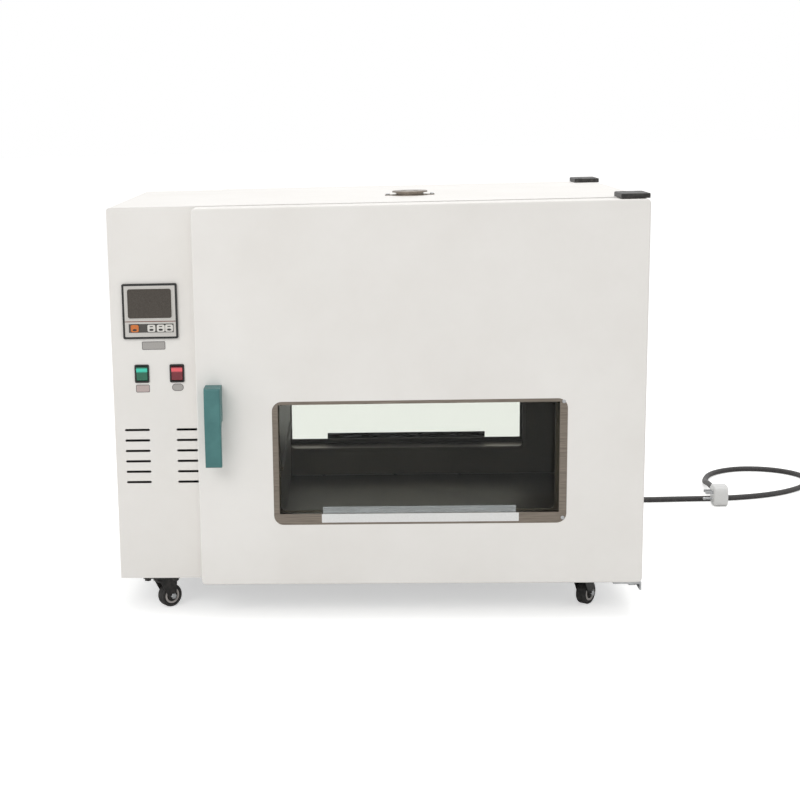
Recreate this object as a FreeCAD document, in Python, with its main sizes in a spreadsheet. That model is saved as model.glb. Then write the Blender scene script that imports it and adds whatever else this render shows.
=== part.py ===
import FreeCAD, Part
import ast
import math
import os
import re
import Sketcher

# Drying oven on castors with a front and a rear door, a control column at the left,
# a fan-heated chamber, and a rubber mains lead with its plug.
# Sketches measure x from the case's left side, y from the front panel's plane
# (the front door is at negative y) and z from the case's underside. Every piece is then
# placed so that the floor is z = 0 and the case's middle is x = 0, y = 0.

doc = FreeCAD.newDocument("drying_oven")
sheet = doc.addObject("Spreadsheet::Sheet", "Sizes")

SIZES = {
    # Case
    "case_width": 915, "case_height": 660, "body_depth": 546, "stand_height": 62,
    "wall": 1.5, "case_corner": 5, "panel_width": 166, "tray_edge": 15,
    # Chamber
    "side_wool": 48, "end_wool": 55, "roof_wool": 60, "chamber_floor": 60,
    "chamber_left": "panel_width + side_wool",
    "chamber_width": "case_width - end_wool - panel_width - side_wool",
    "chamber_height": "case_height - roof_wool - chamber_floor",
    "liner_wall": 1.2, "runner_depth": 4, "runner_height": 8, "runner_low": 180,
    "runner_pitch": 120, "runner_inset": 60, "wool_inset": 14, "wool_play": 1,
    # Doors
    "door_lap": 16, "door_play": 1, "door_face": 49.5, "door_air": 4,
    "door_left": "panel_width - door_lap",
    "door_width": "case_width - door_play - panel_width + door_lap",
    "door_corner": 8, "door_edge": 3, "plug_play": 4, "plug_depth": 10, "plug_corner": 6,
    "wool_side": 3, "wool_end": 13, "wool_right": 25,
    # Windows
    "window_inset": 130, "window_width": 503, "window_low": 109, "window_height": 218,
    "window_left": "door_left + window_inset", "window_corner": 17, "trim_lap": 10,
    "trim_inset": 10, "trim_far_inset": 13, "trim_rise": 19, "trim_drop": 6,
    "pane_left": "window_left + trim_inset",
    "pane_width": "window_width - trim_inset - trim_far_inset",
    "pane_low": "window_low + trim_rise",
    "pane_height": "window_height - trim_rise - trim_drop",
    "pane_lap": 10, "glass_thick": 4, "glass_play": 0.5,
    "lip_rim": 8, "lip_corner": 17, "lip_rise": 3,
    # Door seals
    "seal_gap": 0.3, "seal_width": 12, "seal_inset": 4, "seal_corner": 12,
    # Hinges
    "hinge_inset": 13, "pin_radius": 4, "pin_play": 0.08, "pin_length": 13,
    "hinge_arm": 36, "hinge_end": 12, "hinge_front": 44, "hinge_back": 34,
    "hinge_x": "case_width - hinge_inset", "hinge_left": "hinge_x - hinge_arm",
    "hinge_right": "hinge_x + hinge_end",
    "hinge_block": 8, "hinge_plate": 3, "hinge_tab": 14, "hinge_screw": 2.5, "hinge_corner": 4,
    "nut_width": 14, "nut_height": 6,
    # Latches
    "latch_inset": 31, "latch_x": "door_left + latch_inset", "latch_z": 330,
    "spindle_radius": 5, "spindle_play": 0.08,
    "spindle_seat": 25, "spindle_reach": 9, "cam_thick": 6, "cam_width": 10, "cam_up": 5,
    "cam_down": 30, "cam_play": 3, "lever_width": 28, "lever_play": 0.4, "lever_up": 28,
    "lever_hub": 34, "lever_down": 108, "lever_top_reach": 42, "lever_mid_reach": 46.5,
    "lever_end_reach": 44.5, "grip_thick": 14, "lever_edge": 3,
    # Controller
    "dial_x": 70, "dial_z": 481.2, "dial_size": 96, "dial_body": 91, "dial_lip": 4,
    "dial_depth": 65, "dial_rim": 3.5, "dial_sink": 0.6, "dial_corner": 3,
    "key_width": 13, "key_height": 8, "key_corner": 2.5, "key_play": 0.35, "key_low": 14.5,
    "key_first": 14.2, "key_second": 43.4, "key_third": 59.6, "key_fourth": 74.2,
    "key_proud": 1.4, "key_back": 4.5, "well_depth": 6,
    # Rocker switches
    "rocker_z": 371.5, "green_x": 51.8, "red_x": 113.4, "bezel_width": 25.5,
    "bezel_height": 32, "bezel_thick": 2, "bezel_corner": 2.5, "switch_width": 22,
    "switch_height": 28, "switch_depth": 18, "rocker_width": 19.2, "rocker_half": 11.8,
    "rocker_side": 0.4, "rocker_end": 1.4, "rocker_well": 11, "rocker_pivot": 1,
    "rocker_high": 5.5, "rocker_mid": 3.2, "rocker_low": 2.4, "rocker_back": 4,
    # Air slots
    "slot_left": 17.6, "slot_length": 44.2, "slot_half": 2.1, "slot_low": 176.8,
    "slot_pitch": 18.84, "slot_second": 91.4, "slot_rear": 60,
    # Roof vent
    "vent_across": 313, "vent_x": "chamber_left + vent_across", "vent_y": 203, "vent_bore": 20, "vent_skin": 2, "vent_flange": 33,
    "flange_thick": 1.5, "ear_half": 45, "ear_radius": 7, "ear_hole": 2, "vent_rise": 5,
    "vent_lid": 1.5, "port_radius": 5, "port_offset": 11, "cap_play": 0.5, "cap_fit": 0.08,
    "cap_ring": 3, "cap_thick": 2.5, "vent_gap": 0.5,
    # Fan, heater, probe
    "fan_y": "body_depth / 2", "fan_z": "chamber_floor + chamber_height / 2",
    "motor_radius": 45, "motor_length": 90, "motor_plate": 6,
    "motor_half": 60, "shaft_radius": 5, "shaft_play": 0.06, "shaft_hole": 12,
    "fan_gap": 18, "fan_back": "chamber_left + fan_gap", "fan_disc": 2, "fan_radius": 85, "fan_depth": 30, "hub_radius": 14,
    "blade_thick": 2, "blade_inner": 50, "duct_out": 74, "duct_rise": 10,
    "duct_x": "chamber_left + duct_out", "duct_low": "chamber_floor + duct_rise",
    "duct_high": "chamber_floor + chamber_height - duct_rise",
    "duct_end": 20, "intake_radius": 70, "guard_step": 20, "guard_width": 4,
    "heater_ring": 116, "heater_radius": 4.5, "heater_out": 36,
    "heater_x": "chamber_left + heater_out", "tail_out": 16,
    "heater_tail": "panel_width - tail_out", "heater_play": 0.5, "tail_across": 31,
    "probe_radius": 3, "probe_across": 127, "probe_y": "fan_y + probe_across",
    "probe_drop": 60, "probe_z": "chamber_floor + chamber_height - probe_drop",
    "probe_out": 24, "probe_tip": "duct_x + probe_out",
    "probe_tail": "panel_width - tail_out", "probe_play": 0.3, "probe_head": 8,
    "probe_nut": 8,
    # Castors
    "castor_left": 72, "castor_inset": 93, "castor_right": "case_width - castor_inset",
    "castor_front": 24, "castor_rear": "body_depth - castor_front",
    "castor_long": 66, "castor_short": 44, "castor_plate": 2.5, "castor_race": 5.5,
    "race_radius": 14, "kingpin_radius": 4, "kingpin_play": 0.06, "castor_gap": 0.4,
    "fork_top": 3.6, "castor_trail": 14, "wheel_radius": 21, "wheel_width": 18,
    "wheel_gap": 1.2, "fork_wall": 2, "fork_half": 9, "axle_radius": 3, "axle_play": 0.06,
    "axle_head": 5, "head_thick": 2.5, "dish_radius": 15, "dish_depth": 2, "boss_radius": 7,
    "turn_left": 38, "turn_right": 52,
    # Mains lead
    "gland_x": 85, "gland_z": 66, "gland_width": 26, "gland_step": 6, "gland_body": 10,
    "gland_play": 0.2, "gland_nose": 20, "gland_dome": 9, "gland_nut": 5, "cord_radius": 6, "plug_x": 1208, "plug_y": 716,
    "plug_thick": 30, "plug_side": 46, "plug_round": 14, "plug_edge": 3, "boss_along": 16,
    "boss_size": 8.5, "boss_long": 12, "blade_long": 17, "blade_wide": 6, "blade_high": 2,
    "earth_radius": 2.4,
}
for row, (name, number) in enumerate(SIZES.items(), 1):
    sheet.set("A%d" % row, name.replace("_", " "))
    sheet.set("B%d" % row, "=" + number if isinstance(number, str) else str(number))
    sheet.setAlias("B%d" % row, name)
doc.recompute()

PIECES = []


def ref(text):
    """The same sum with every size taken from the sheet."""
    return re.sub(r"[a-z_]+", lambda m: "Sizes." + m.group(0), text)


def value(text):
    """The number that a sum of sizes gives."""
    def walk(node):
        if isinstance(node, ast.Constant):
            return node.value
        if isinstance(node, ast.Name):
            number = SIZES[node.id]
            return value(number) if isinstance(number, str) else number
        if isinstance(node, ast.UnaryOp):
            return -walk(node.operand)
        low, high = walk(node.left), walk(node.right)
        if isinstance(node.op, ast.Add):
            return low + high
        if isinstance(node.op, ast.Sub):
            return low - high
        if isinstance(node.op, ast.Mult):
            return low * high
        return low / high
    return walk(ast.parse(text.strip()).body[0].value)


def put(thing, x="0", y="0", z="0", turn="0"):
    """Place a piece whose own origin is at x, y, z of the case, turned about the vertical."""
    base = "create(<<vector>>; %s; %s; %s)" % (
        ref("(%s) - case_width / 2" % x), ref("(%s) - body_depth / 2" % y),
        ref("(%s) + stand_height" % z))
    spin = "create(<<rotation>>; create(<<vector>>; 0; 0; 1); %s)" % ref(turn)
    thing.setExpression("Placement", "create(<<placement>>; %s; %s)" % (base, spin))


def piece(name, x="0", y="0", z="0", turn="0"):
    body = doc.addObject("PartDesign::Body", name)
    body.Label = name
    put(body, x, y, z, turn)
    PIECES.append(body)
    return body


def sketch(body, name, plane, at):
    sk = body.newObject("Sketcher::SketchObject", body.Name + "_" + name)
    origin = [o for o in body.Origin.OriginFeatures if o.Role == plane + "_Plane"][0]
    sk.AttachmentSupport = [(origin, "")]
    sk.MapMode = "FlatFace"
    sign = "-1 * " if plane == "XZ" else ""
    sk.setExpression("AttachmentOffset.Base.z", sign + "(" + ref(at) + ")")
    return sk


def fix(sk, kind, geometry, corner, text):
    """Hold one point at a signed distance from the sketch's origin."""
    n = sk.addConstraint(Sketcher.Constraint(kind, -1, 1, geometry, corner, value(text)))
    sk.setExpression("Constraints[%d]" % n, ref(text))


def poly(sk, points):
    """A closed outline of straight sides through the points."""
    at = [FreeCAD.Vector(value(a), value(b), 0) for a, b in points]
    first = sk.GeometryCount
    count = len(at)
    for k in range(count):
        sk.addGeometry(Part.LineSegment(at[k], at[(k + 1) % count]))
    for k in range(count):
        sk.addConstraint(Sketcher.Constraint(
            "Coincident", first + k, 2, first + (k + 1) % count, 1))
    for k, (a, b) in enumerate(points):
        fix(sk, "DistanceX", first + k, 1, a)
        fix(sk, "DistanceY", first + k, 1, b)


def rect(sk, x0, y0, x1, y1):
    poly_points = [(x0, y0), (x1, y0), (x1, y1), (x0, y1)]
    at = [FreeCAD.Vector(value(a), value(b), 0) for a, b in poly_points]
    first = sk.GeometryCount
    for k in range(4):
        sk.addGeometry(Part.LineSegment(at[k], at[(k + 1) % 4]))
    for k in range(4):
        sk.addConstraint(Sketcher.Constraint(
            "Coincident", first + k, 2, first + (k + 1) % 4, 1))
        sk.addConstraint(Sketcher.Constraint(
            "Horizontal" if k % 2 == 0 else "Vertical", first + k))
    fix(sk, "DistanceX", first, 1, x0)
    fix(sk, "DistanceY", first, 1, y0)
    fix(sk, "DistanceX", first + 1, 2, x1)
    fix(sk, "DistanceY", first + 1, 2, y1)


def rrect(sk, x0, y0, x1, y1, radius):
    """A rectangle with four rounded corners."""
    a, b, c, d, r = value(x0), value(y0), value(x1), value(y1), value(radius)
    first = sk.GeometryCount
    lines = [((a + r, b), (c - r, b)), ((c, b + r), (c, d - r)),
             ((c - r, d), (a + r, d)), ((a, d - r), (a, b + r))]
    centres = [(c - r, b + r), (c - r, d - r), (a + r, d - r), (a + r, b + r)]
    for k in range(4):
        (p, q), (s, u) = lines[k]
        sk.addGeometry(Part.LineSegment(FreeCAD.Vector(p, q, 0), FreeCAD.Vector(s, u, 0)))
        circle_line = Part.Circle(
            FreeCAD.Vector(centres[k][0], centres[k][1], 0), FreeCAD.Vector(0, 0, 1), r)
        start = math.radians(-90 + 90 * k)
        sk.addGeometry(Part.ArcOfCircle(circle_line, start, start + math.pi / 2))
    for k in range(8):
        sk.addConstraint(Sketcher.Constraint("Tangent", first + k, 2, first + (k + 1) % 8, 1))
    for k in (0, 4):
        sk.addConstraint(Sketcher.Constraint("Horizontal", first + k))
    for k in (2, 6):
        sk.addConstraint(Sketcher.Constraint("Vertical", first + k))
    for k in (3, 5, 7):
        sk.addConstraint(Sketcher.Constraint("Equal", first + 1, first + k))
    n = sk.addConstraint(Sketcher.Constraint("Radius", first + 1, r))
    sk.setExpression("Constraints[%d]" % n, ref(radius))
    fix(sk, "DistanceY", first, 1, y0)
    fix(sk, "DistanceX", first + 2, 1, x1)
    fix(sk, "DistanceY", first + 4, 1, y1)
    fix(sk, "DistanceX", first + 6, 1, x0)


def ring(sk, x, y, radius):
    """A circle."""
    first = sk.GeometryCount
    centre = FreeCAD.Vector(value(x), value(y), 0)
    sk.addGeometry(Part.Circle(centre, FreeCAD.Vector(0, 0, 1), value(radius)))
    fix(sk, "DistanceX", first, 3, x)
    fix(sk, "DistanceY", first, 3, y)
    n = sk.addConstraint(Sketcher.Constraint("Radius", first, value(radius)))
    sk.setExpression("Constraints[%d]" % n, ref(radius))


def hexagon(sk, x, y, width):
    """A six-sided nut or head of the given width across its flats, two flats level."""
    corner, half = 1 / math.sqrt(3), 0.5 / math.sqrt(3)
    poly(sk, [("%s + (%s) * (%.6f)" % (x, width, a), "%s + (%s) * (%.6f)" % (y, width, b))
              for a, b in ((corner, 0), (half, 0.5), (-half, 0.5), (-corner, 0),
                           (-half, -0.5), (half, -0.5))])


def slot(sk, x0, x1, y, half):
    """A level slot with round ends, x0 to x1 overall."""
    a, b, c, r = value(x0), value(x1), value(y), value(half)
    first = sk.GeometryCount
    up = FreeCAD.Vector(0, 0, 1)
    sk.addGeometry(Part.LineSegment(
        FreeCAD.Vector(a + r, c - r, 0), FreeCAD.Vector(b - r, c - r, 0)))
    sk.addGeometry(Part.ArcOfCircle(
        Part.Circle(FreeCAD.Vector(b - r, c, 0), up, r), -math.pi / 2, math.pi / 2))
    sk.addGeometry(Part.LineSegment(
        FreeCAD.Vector(b - r, c + r, 0), FreeCAD.Vector(a + r, c + r, 0)))
    sk.addGeometry(Part.ArcOfCircle(
        Part.Circle(FreeCAD.Vector(a + r, c, 0), up, r), math.pi / 2, 3 * math.pi / 2))
    for k in range(4):
        sk.addConstraint(Sketcher.Constraint("Tangent", first + k, 2, first + (k + 1) % 4, 1))
    sk.addConstraint(Sketcher.Constraint("Horizontal", first))
    n = sk.addConstraint(Sketcher.Constraint("Radius", first + 1, r))
    sk.setExpression("Constraints[%d]" % n, ref(half))
    fix(sk, "DistanceX", first + 3, 3, "(%s) + (%s)" % (x0, half))
    fix(sk, "DistanceX", first + 1, 3, "(%s) - (%s)" % (x1, half))
    fix(sk, "DistanceY", first + 1, 3, y)


def layer(body, name, plane, draw, low, high, cut=False, rear=False):
    """Add or cut what draw outlines, from low to high along the plane's normal axis.
    On the XZ plane rear=True measures low and high from the rear panel's plane instead."""
    at = low
    if rear:
        at = "body_depth - (%s)" % low
    sk = sketch(body, name + "_outline", plane, at)
    draw(sk)
    feature = body.newObject(
        "PartDesign::Pocket" if cut else "PartDesign::Pad", body.Name + "_" + name)
    feature.Profile = sk
    feature.setExpression("Length", ref("(%s) - (%s)" % (high, low)))
    along = (plane != "XZ") != rear
    feature.Reversed = along if cut else not along
    body.Tip = feature
    return feature


def across(body, name, draw, low, high, cut=False, rear=False):
    return layer(body, name, "XZ", draw, low, high, cut, rear)


def upright(body, name, draw, low, high, cut=False):
    return layer(body, name, "XY", draw, low, high, cut)


def sideways(body, name, draw, low, high, cut=False):
    return layer(body, name, "YZ", draw, low, high, cut)


def flush(edge, **where):
    """True if the edge lies at each named coordinate."""
    box = edge.BoundBox
    for axis, number in where.items():
        low = getattr(box, axis.upper() + "Min")
        high = getattr(box, axis.upper() + "Max")
        if abs(low - number) > 0.02 or abs(high - number) > 0.02:
            return False
    return True


def soften(body, name, test, radius):
    """Round the edges of the body's present shape that pass the test."""
    doc.recompute()
    base = body.Tip
    names = ["Edge%d" % (k + 1) for k, e in enumerate(base.Shape.Edges) if test(e)]
    if not names:
        raise RuntimeError("no edge found for " + body.Name + " " + name)
    feature = body.newObject("PartDesign::Fillet", body.Name + "_" + name)
    feature.Base = (base, names)
    feature.setExpression("Radius", ref(radius))
    body.Tip = feature


def repeat(body, name, original, axis, length, count):
    """Repeat a feature count times along one of the body's axes, over a total length."""
    line = [o for o in body.Origin.OriginFeatures if o.Role == axis + "_Axis"][0]
    feature = body.newObject("PartDesign::LinearPattern", body.Name + "_" + name)
    feature.Originals = [original]
    feature.Direction = (line, [""])
    feature.setExpression("Length", ref(length))
    feature.Occurrences = count
    body.Tip = feature


def mirrored(rear, y):
    """A depth, counted from the front panel's plane, or the same seen from the rear."""
    return "body_depth - (%s)" % y if rear else y


# Outer case: left side, roof and right side folded from one sheet
case = piece("outer_case")
across(case, "sheet", lambda sk: rect(sk, "0", "0", "case_width", "case_height"),
       "0", "body_depth")
soften(case, "fold", lambda e: flush(e, z=value("case_height"))
       and e.BoundBox.XLength < 0.1, "case_corner")
across(case, "inside", lambda sk: rect(
    sk, "wall", "0", "case_width - wall", "case_height - wall"), "0", "body_depth", cut=True)
soften(case, "inner_fold", lambda e: flush(e, z=value("case_height - wall"))
       and e.BoundBox.XLength < 0.1, "case_corner - wall")
upright(case, "vent_hole", lambda sk: ring(
    sk, "vent_x", "vent_y", "vent_bore + vent_skin + vent_gap"),
    "case_height - 2 * wall", "case_height + wall", cut=True)

# Base tray: floor sheet with its edges folded up
tray = piece("base_tray")
upright(tray, "floor", lambda sk: rect(
    sk, "wall", "wall", "case_width - wall", "body_depth - wall"), "0", "tray_edge")
upright(tray, "inside", lambda sk: rect(
    sk, "2 * wall", "2 * wall", "case_width - 2 * wall", "body_depth - 2 * wall"),
    "wall", "tray_edge", cut=True)


def frame_sheet(name, rear):
    """Sheet round the chamber's mouth, with the hole that the latch cam goes through."""
    body = piece(name)
    across(body, "sheet", lambda sk: rect(
        sk, "panel_width", "0", "case_width - wall", "case_height - wall"),
        "0", "wall", rear=rear)
    soften(body, "corner", lambda e: flush(
        e, x=value("case_width - wall"), z=value("case_height - wall")),
        "case_corner - wall")
    across(body, "mouth", lambda sk: rect(
        sk, "chamber_left", "chamber_floor", "chamber_left + chamber_width",
        "chamber_floor + chamber_height"), "0", "wall", cut=True, rear=rear)
    across(body, "cam_hole", lambda sk: rect(
        sk, "latch_x - cam_width / 2 - cam_play", "latch_z - cam_down - cam_play",
        "latch_x + cam_width / 2 + cam_play", "latch_z + cam_up + cam_play + 3"),
        "0", "wall", cut=True, rear=rear)
    return body


frame_sheet("front_frame", False)
frame_sheet("rear_frame", True)


def column_sheet(name, rear):
    """Sheet that closes the control column, with its air slots."""
    body = piece(name)
    across(body, "sheet", lambda sk: rect(
        sk, "wall", "0", "panel_width", "case_height - wall"), "0", "wall", rear=rear)
    soften(body, "corner", lambda e: flush(e, x=value("wall"), z=value("case_height - wall")),
           "case_corner - wall")
    left = "slot_rear" if rear else "slot_left"
    first = across(body, "slots", lambda sk: slot(
        sk, left, left + " + slot_length", "slot_low", "slot_half"),
        "0", "wall", cut=True, rear=rear)
    repeat(body, "slot_rows", first, "Z", "5 * slot_pitch", 6)
    return body


# Control panel, its cut-outs and its two columns of air slots
panel = column_sheet("control_panel", False)
second = across(panel, "slots_right", lambda sk: slot(
    sk, "slot_left + slot_second", "slot_left + slot_second + slot_length",
    "slot_low", "slot_half"), "0", "wall", cut=True)
repeat(panel, "slot_rows_right", second, "Z", "5 * slot_pitch", 6)
across(panel, "controller_hole", lambda sk: rect(
    sk, "dial_x - dial_body / 2", "dial_z - dial_body / 2",
    "dial_x + dial_body / 2", "dial_z + dial_body / 2"), "0", "wall", cut=True)
for side in ("green", "red"):
    across(panel, side + "_hole", lambda sk: rect(
        sk, side + "_x - switch_width / 2", "rocker_z - switch_height / 2",
        side + "_x + switch_width / 2", "rocker_z + switch_height / 2"),
        "0", "wall", cut=True)

# Rear panel of the column, with the hole for the cord gland
back = column_sheet("rear_panel", True)
across(back, "gland_hole", lambda sk: ring(
    sk, "gland_x", "gland_z", "gland_body + gland_play"), "0", "wall", cut=True, rear=True)

# Wall between the column and the wool, and the holes of fan, heater and probe
HOLES = [("fan_y", "fan_z", "shaft_hole"),
         ("fan_y - tail_across", "fan_z - heater_ring", "heater_radius + heater_play"),
         ("fan_y + tail_across", "fan_z - heater_ring", "heater_radius + heater_play"),
         ("probe_y", "probe_z", "probe_radius + probe_play")]


def drill(body, low, high):
    for k, (y, z, radius) in enumerate(HOLES):
        sideways(body, "hole_%d" % k, lambda sk: ring(sk, y, z, radius), low, high, cut=True)


divider = piece("column_wall")
sideways(divider, "sheet", lambda sk: rect(
    sk, "2 * wall", "wall", "body_depth - 2 * wall", "case_height - wall"),
    "panel_width", "panel_width + wall")
drill(divider, "panel_width", "panel_width + wall")

# Chamber: welded tube of thin sheet, open at both doors, with pressed shelf runners
chamber = piece("chamber")
across(chamber, "tube", lambda sk: rect(
    sk, "chamber_left - liner_wall", "chamber_floor - liner_wall",
    "chamber_left + chamber_width + liner_wall",
    "chamber_floor + chamber_height + liner_wall"), "wall", "body_depth - wall")
across(chamber, "hollow", lambda sk: rect(
    sk, "chamber_left", "chamber_floor", "chamber_left + chamber_width",
    "chamber_floor + chamber_height"), "wall", "body_depth - wall", cut=True)
right_runner = sideways(chamber, "runner", lambda sk: rect(
    sk, "runner_inset", "runner_low", "body_depth - runner_inset",
    "runner_low + runner_height"),
    "chamber_left + chamber_width - runner_depth", "chamber_left + chamber_width")
repeat(chamber, "runners", right_runner, "Z", "2 * runner_pitch", 3)
drill(chamber, "chamber_left - 2 * liner_wall", "chamber_left + liner_wall")
upright(chamber, "vent_hole", lambda sk: ring(sk, "vent_x", "vent_y", "vent_bore"),
        "chamber_floor + chamber_height", "chamber_floor + chamber_height + 2 * liner_wall",
        cut=True)

# Mineral wool between the chamber and the case
wool = piece("chamber_wool")
across(wool, "block", lambda sk: rect(
    sk, "panel_width + wall", "tray_edge + wool_play",
    "case_width - wall - wool_play", "case_height - wall - wool_play"),
    "wool_inset", "body_depth - wool_inset")
soften(wool, "corner", lambda e: flush(
    e, x=value("case_width - wall - wool_play"), z=value("case_height - wall - wool_play")),
    "case_corner")
across(wool, "hollow", lambda sk: rect(
    sk, "chamber_left - liner_wall", "chamber_floor - liner_wall",
    "chamber_left + chamber_width + liner_wall",
    "chamber_floor + chamber_height + liner_wall"),
    "wool_inset", "body_depth - wool_inset", cut=True)
drill(wool, "panel_width", "chamber_left")
upright(wool, "vent_hole", lambda sk: ring(
    sk, "vent_x", "vent_y", "vent_bore + vent_skin + vent_gap"),
    "chamber_floor + chamber_height", "case_height", cut=True)

# Duct wall in the chamber: screened intake in front of the fan, and the left shelf runners
duct = piece("duct_wall")
sideways(duct, "sheet", lambda sk: rect(
    sk, "duct_end", "duct_low", "body_depth - duct_end", "duct_high"),
    "duct_x", "duct_x + liner_wall")
for k, height in enumerate(("duct_low", "duct_high - liner_wall")):
    upright(duct, "flange_%d" % k, lambda sk: rect(
        sk, "chamber_left", "duct_end", "duct_x + liner_wall", "body_depth - duct_end"),
        height, height + " + liner_wall")
sideways(duct, "intake", lambda sk: ring(sk, "fan_y", "fan_z", "intake_radius"),
         "duct_x", "duct_x + liner_wall", cut=True)
for k in range(3):
    outer_ring = "intake_radius - guard_step * %.1f" % (k + 0.7)
    sideways(duct, "guard_%d" % k, lambda sk: (
        ring(sk, "fan_y", "fan_z", outer_ring),
        ring(sk, "fan_y", "fan_z", outer_ring + " - guard_width")),
        "duct_x", "duct_x + liner_wall")
sideways(duct, "guard_bar", lambda sk: rect(
    sk, "fan_y - guard_width", "fan_z - intake_radius", "fan_y + guard_width",
    "fan_z + intake_radius"), "duct_x", "duct_x + liner_wall")
left_runner = sideways(duct, "runner", lambda sk: rect(
    sk, "runner_inset", "runner_low", "body_depth - runner_inset",
    "runner_low + runner_height"),
    "duct_x + liner_wall", "duct_x + liner_wall + runner_depth")
repeat(duct, "runners", left_runner, "Z", "2 * runner_pitch", 3)
sideways(duct, "probe_hole", lambda sk: ring(
    sk, "probe_y", "probe_z", "probe_radius + probe_play"),
    "duct_x", "duct_x + liner_wall", cut=True)

# Roof vent: flanged tube with two screw ears and a ported lid, and the cap that turns on it
collar = piece("vent_collar")
upright(collar, "tube", lambda sk: ring(sk, "vent_x", "vent_y", "vent_bore + vent_skin"),
        "chamber_floor + chamber_height + liner_wall", "case_height + vent_rise")
upright(collar, "flange", lambda sk: ring(sk, "vent_x", "vent_y", "vent_flange"),
        "case_height", "case_height + flange_thick")
upright(collar, "ears", lambda sk: slot(
    sk, "vent_x - ear_half", "vent_x + ear_half", "vent_y", "ear_radius"),
    "case_height", "case_height + flange_thick")
upright(collar, "bore", lambda sk: ring(sk, "vent_x", "vent_y", "vent_bore"),
        "chamber_floor + chamber_height", "case_height + vent_rise - vent_lid", cut=True)
for k, side in enumerate(("-", "+")):
    upright(collar, "ear_hole_%d" % k, lambda sk: ring(
        sk, "vent_x " + side + " (ear_half - ear_radius + 2)", "vent_y", "ear_hole"),
        "case_height", "case_height + flange_thick", cut=True)
    upright(collar, "port_%d" % k, lambda sk: ring(
        sk, "vent_x " + side + " port_offset", "vent_y", "port_radius"),
        "case_height", "case_height + vent_rise", cut=True)
cap = piece("vent_cap")
upright(cap, "disc", lambda sk: ring(sk, "vent_x", "vent_y", "vent_flange - 1"),
        "case_height + vent_rise + cap_play",
        "case_height + vent_rise + cap_play + cap_thick")
upright(cap, "skirt", lambda sk: ring(
    sk, "vent_x", "vent_y", "vent_bore + vent_skin + cap_fit + cap_ring"),
    "case_height + flange_thick + cap_play", "case_height + vent_rise + cap_play")
upright(cap, "seat", lambda sk: ring(
    sk, "vent_x", "vent_y", "vent_bore + vent_skin + cap_fit"),
    "case_height + flange_thick", "case_height + vent_rise + cap_play", cut=True)
for k, side in enumerate(("-", "+")):
    upright(cap, "port_%d" % k, lambda sk: ring(
        sk, "vent_x " + side + " port_offset", "vent_y", "port_radius"),
        "case_height + vent_rise", "case_height + vent_rise + 2 * cap_thick", cut=True)
soften(cap, "rim", lambda e: flush(e, z=value("case_height + vent_rise + cap_play + cap_thick"))
       and e.BoundBox.XLength > 40, "1")

# Temperature controller: panel case with key wells, and four press keys
dial = piece("controller")
across(dial, "bezel", lambda sk: rrect(
    sk, "dial_x - dial_size / 2", "dial_z - dial_size / 2",
    "dial_x + dial_size / 2", "dial_z + dial_size / 2", "dial_corner"), "-dial_lip", "0")
across(dial, "case", lambda sk: rect(
    sk, "dial_x - dial_body / 2", "dial_z - dial_body / 2",
    "dial_x + dial_body / 2", "dial_z + dial_body / 2"), "0", "dial_depth")
across(dial, "face", lambda sk: rect(
    sk, "dial_x - dial_size / 2 + dial_rim", "dial_z - dial_size / 2 + dial_rim",
    "dial_x + dial_size / 2 - dial_rim", "dial_z + dial_size / 2 - dial_rim"),
    "-dial_lip", "-dial_lip + dial_sink", cut=True)
KEYS = [("key_set", "key_first"), ("key_shift", "key_second"), ("key_down", "key_third"),
        ("key_up", "key_fourth")]
for name, offset in KEYS:
    x0 = "dial_x - dial_size / 2 + " + offset
    z0 = "dial_z - dial_size / 2 + key_low"
    across(dial, name + "_well", lambda sk: rrect(
        sk, x0 + " - key_play", z0 + " - key_play", x0 + " + key_width + key_play",
        z0 + " + key_height + key_play", "key_corner + key_play"),
        "-dial_lip", "-dial_lip + well_depth", cut=True)
    key = piece(name)
    across(key, "button", lambda sk: rrect(
        sk, x0, z0, x0 + " + key_width", z0 + " + key_height", "key_corner"),
        "-dial_lip - key_proud + dial_sink", "-dial_lip + key_back")
    soften(key, "edge", lambda e: flush(
        e, y=value("-dial_lip - key_proud + dial_sink")), "0.5")


def switch(side):
    """Snap-in frame of a rocker switch, with the well that the rocker tilts in."""
    x = side + "_x"
    body = piece(side + "_switch_frame")
    across(body, "bezel", lambda sk: rrect(
        sk, x + " - bezel_width / 2", "rocker_z - bezel_height / 2",
        x + " + bezel_width / 2", "rocker_z + bezel_height / 2", "bezel_corner"),
        "-bezel_thick", "0")
    across(body, "box", lambda sk: rect(
        sk, x + " - switch_width / 2", "rocker_z - switch_height / 2",
        x + " + switch_width / 2", "rocker_z + switch_height / 2"), "0", "switch_depth")
    across(body, "well", lambda sk: rect(
        sk, x + " - rocker_width / 2 - rocker_side",
        "rocker_z - rocker_half - rocker_end",
        x + " + rocker_width / 2 + rocker_side",
        "rocker_z + rocker_half + rocker_end"),
        "-bezel_thick", "rocker_well", cut=True)
    rocker = piece(side + "_rocker")
    sideways(rocker, "rocker", lambda sk: poly(sk, [
        ("rocker_back", "rocker_z - rocker_half"),
        ("rocker_back", "rocker_z + rocker_half"),
        ("-rocker_high", "rocker_z + rocker_half"),
        ("-rocker_mid", "rocker_z"),
        ("-rocker_low", "rocker_z - rocker_half")]),
        x + " - rocker_width / 2", x + " + rocker_width / 2")
    soften(rocker, "edges", lambda e: e.BoundBox.YMax < -0.5 * value("rocker_low"), "0.6")


switch("green")
switch("red")


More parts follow.
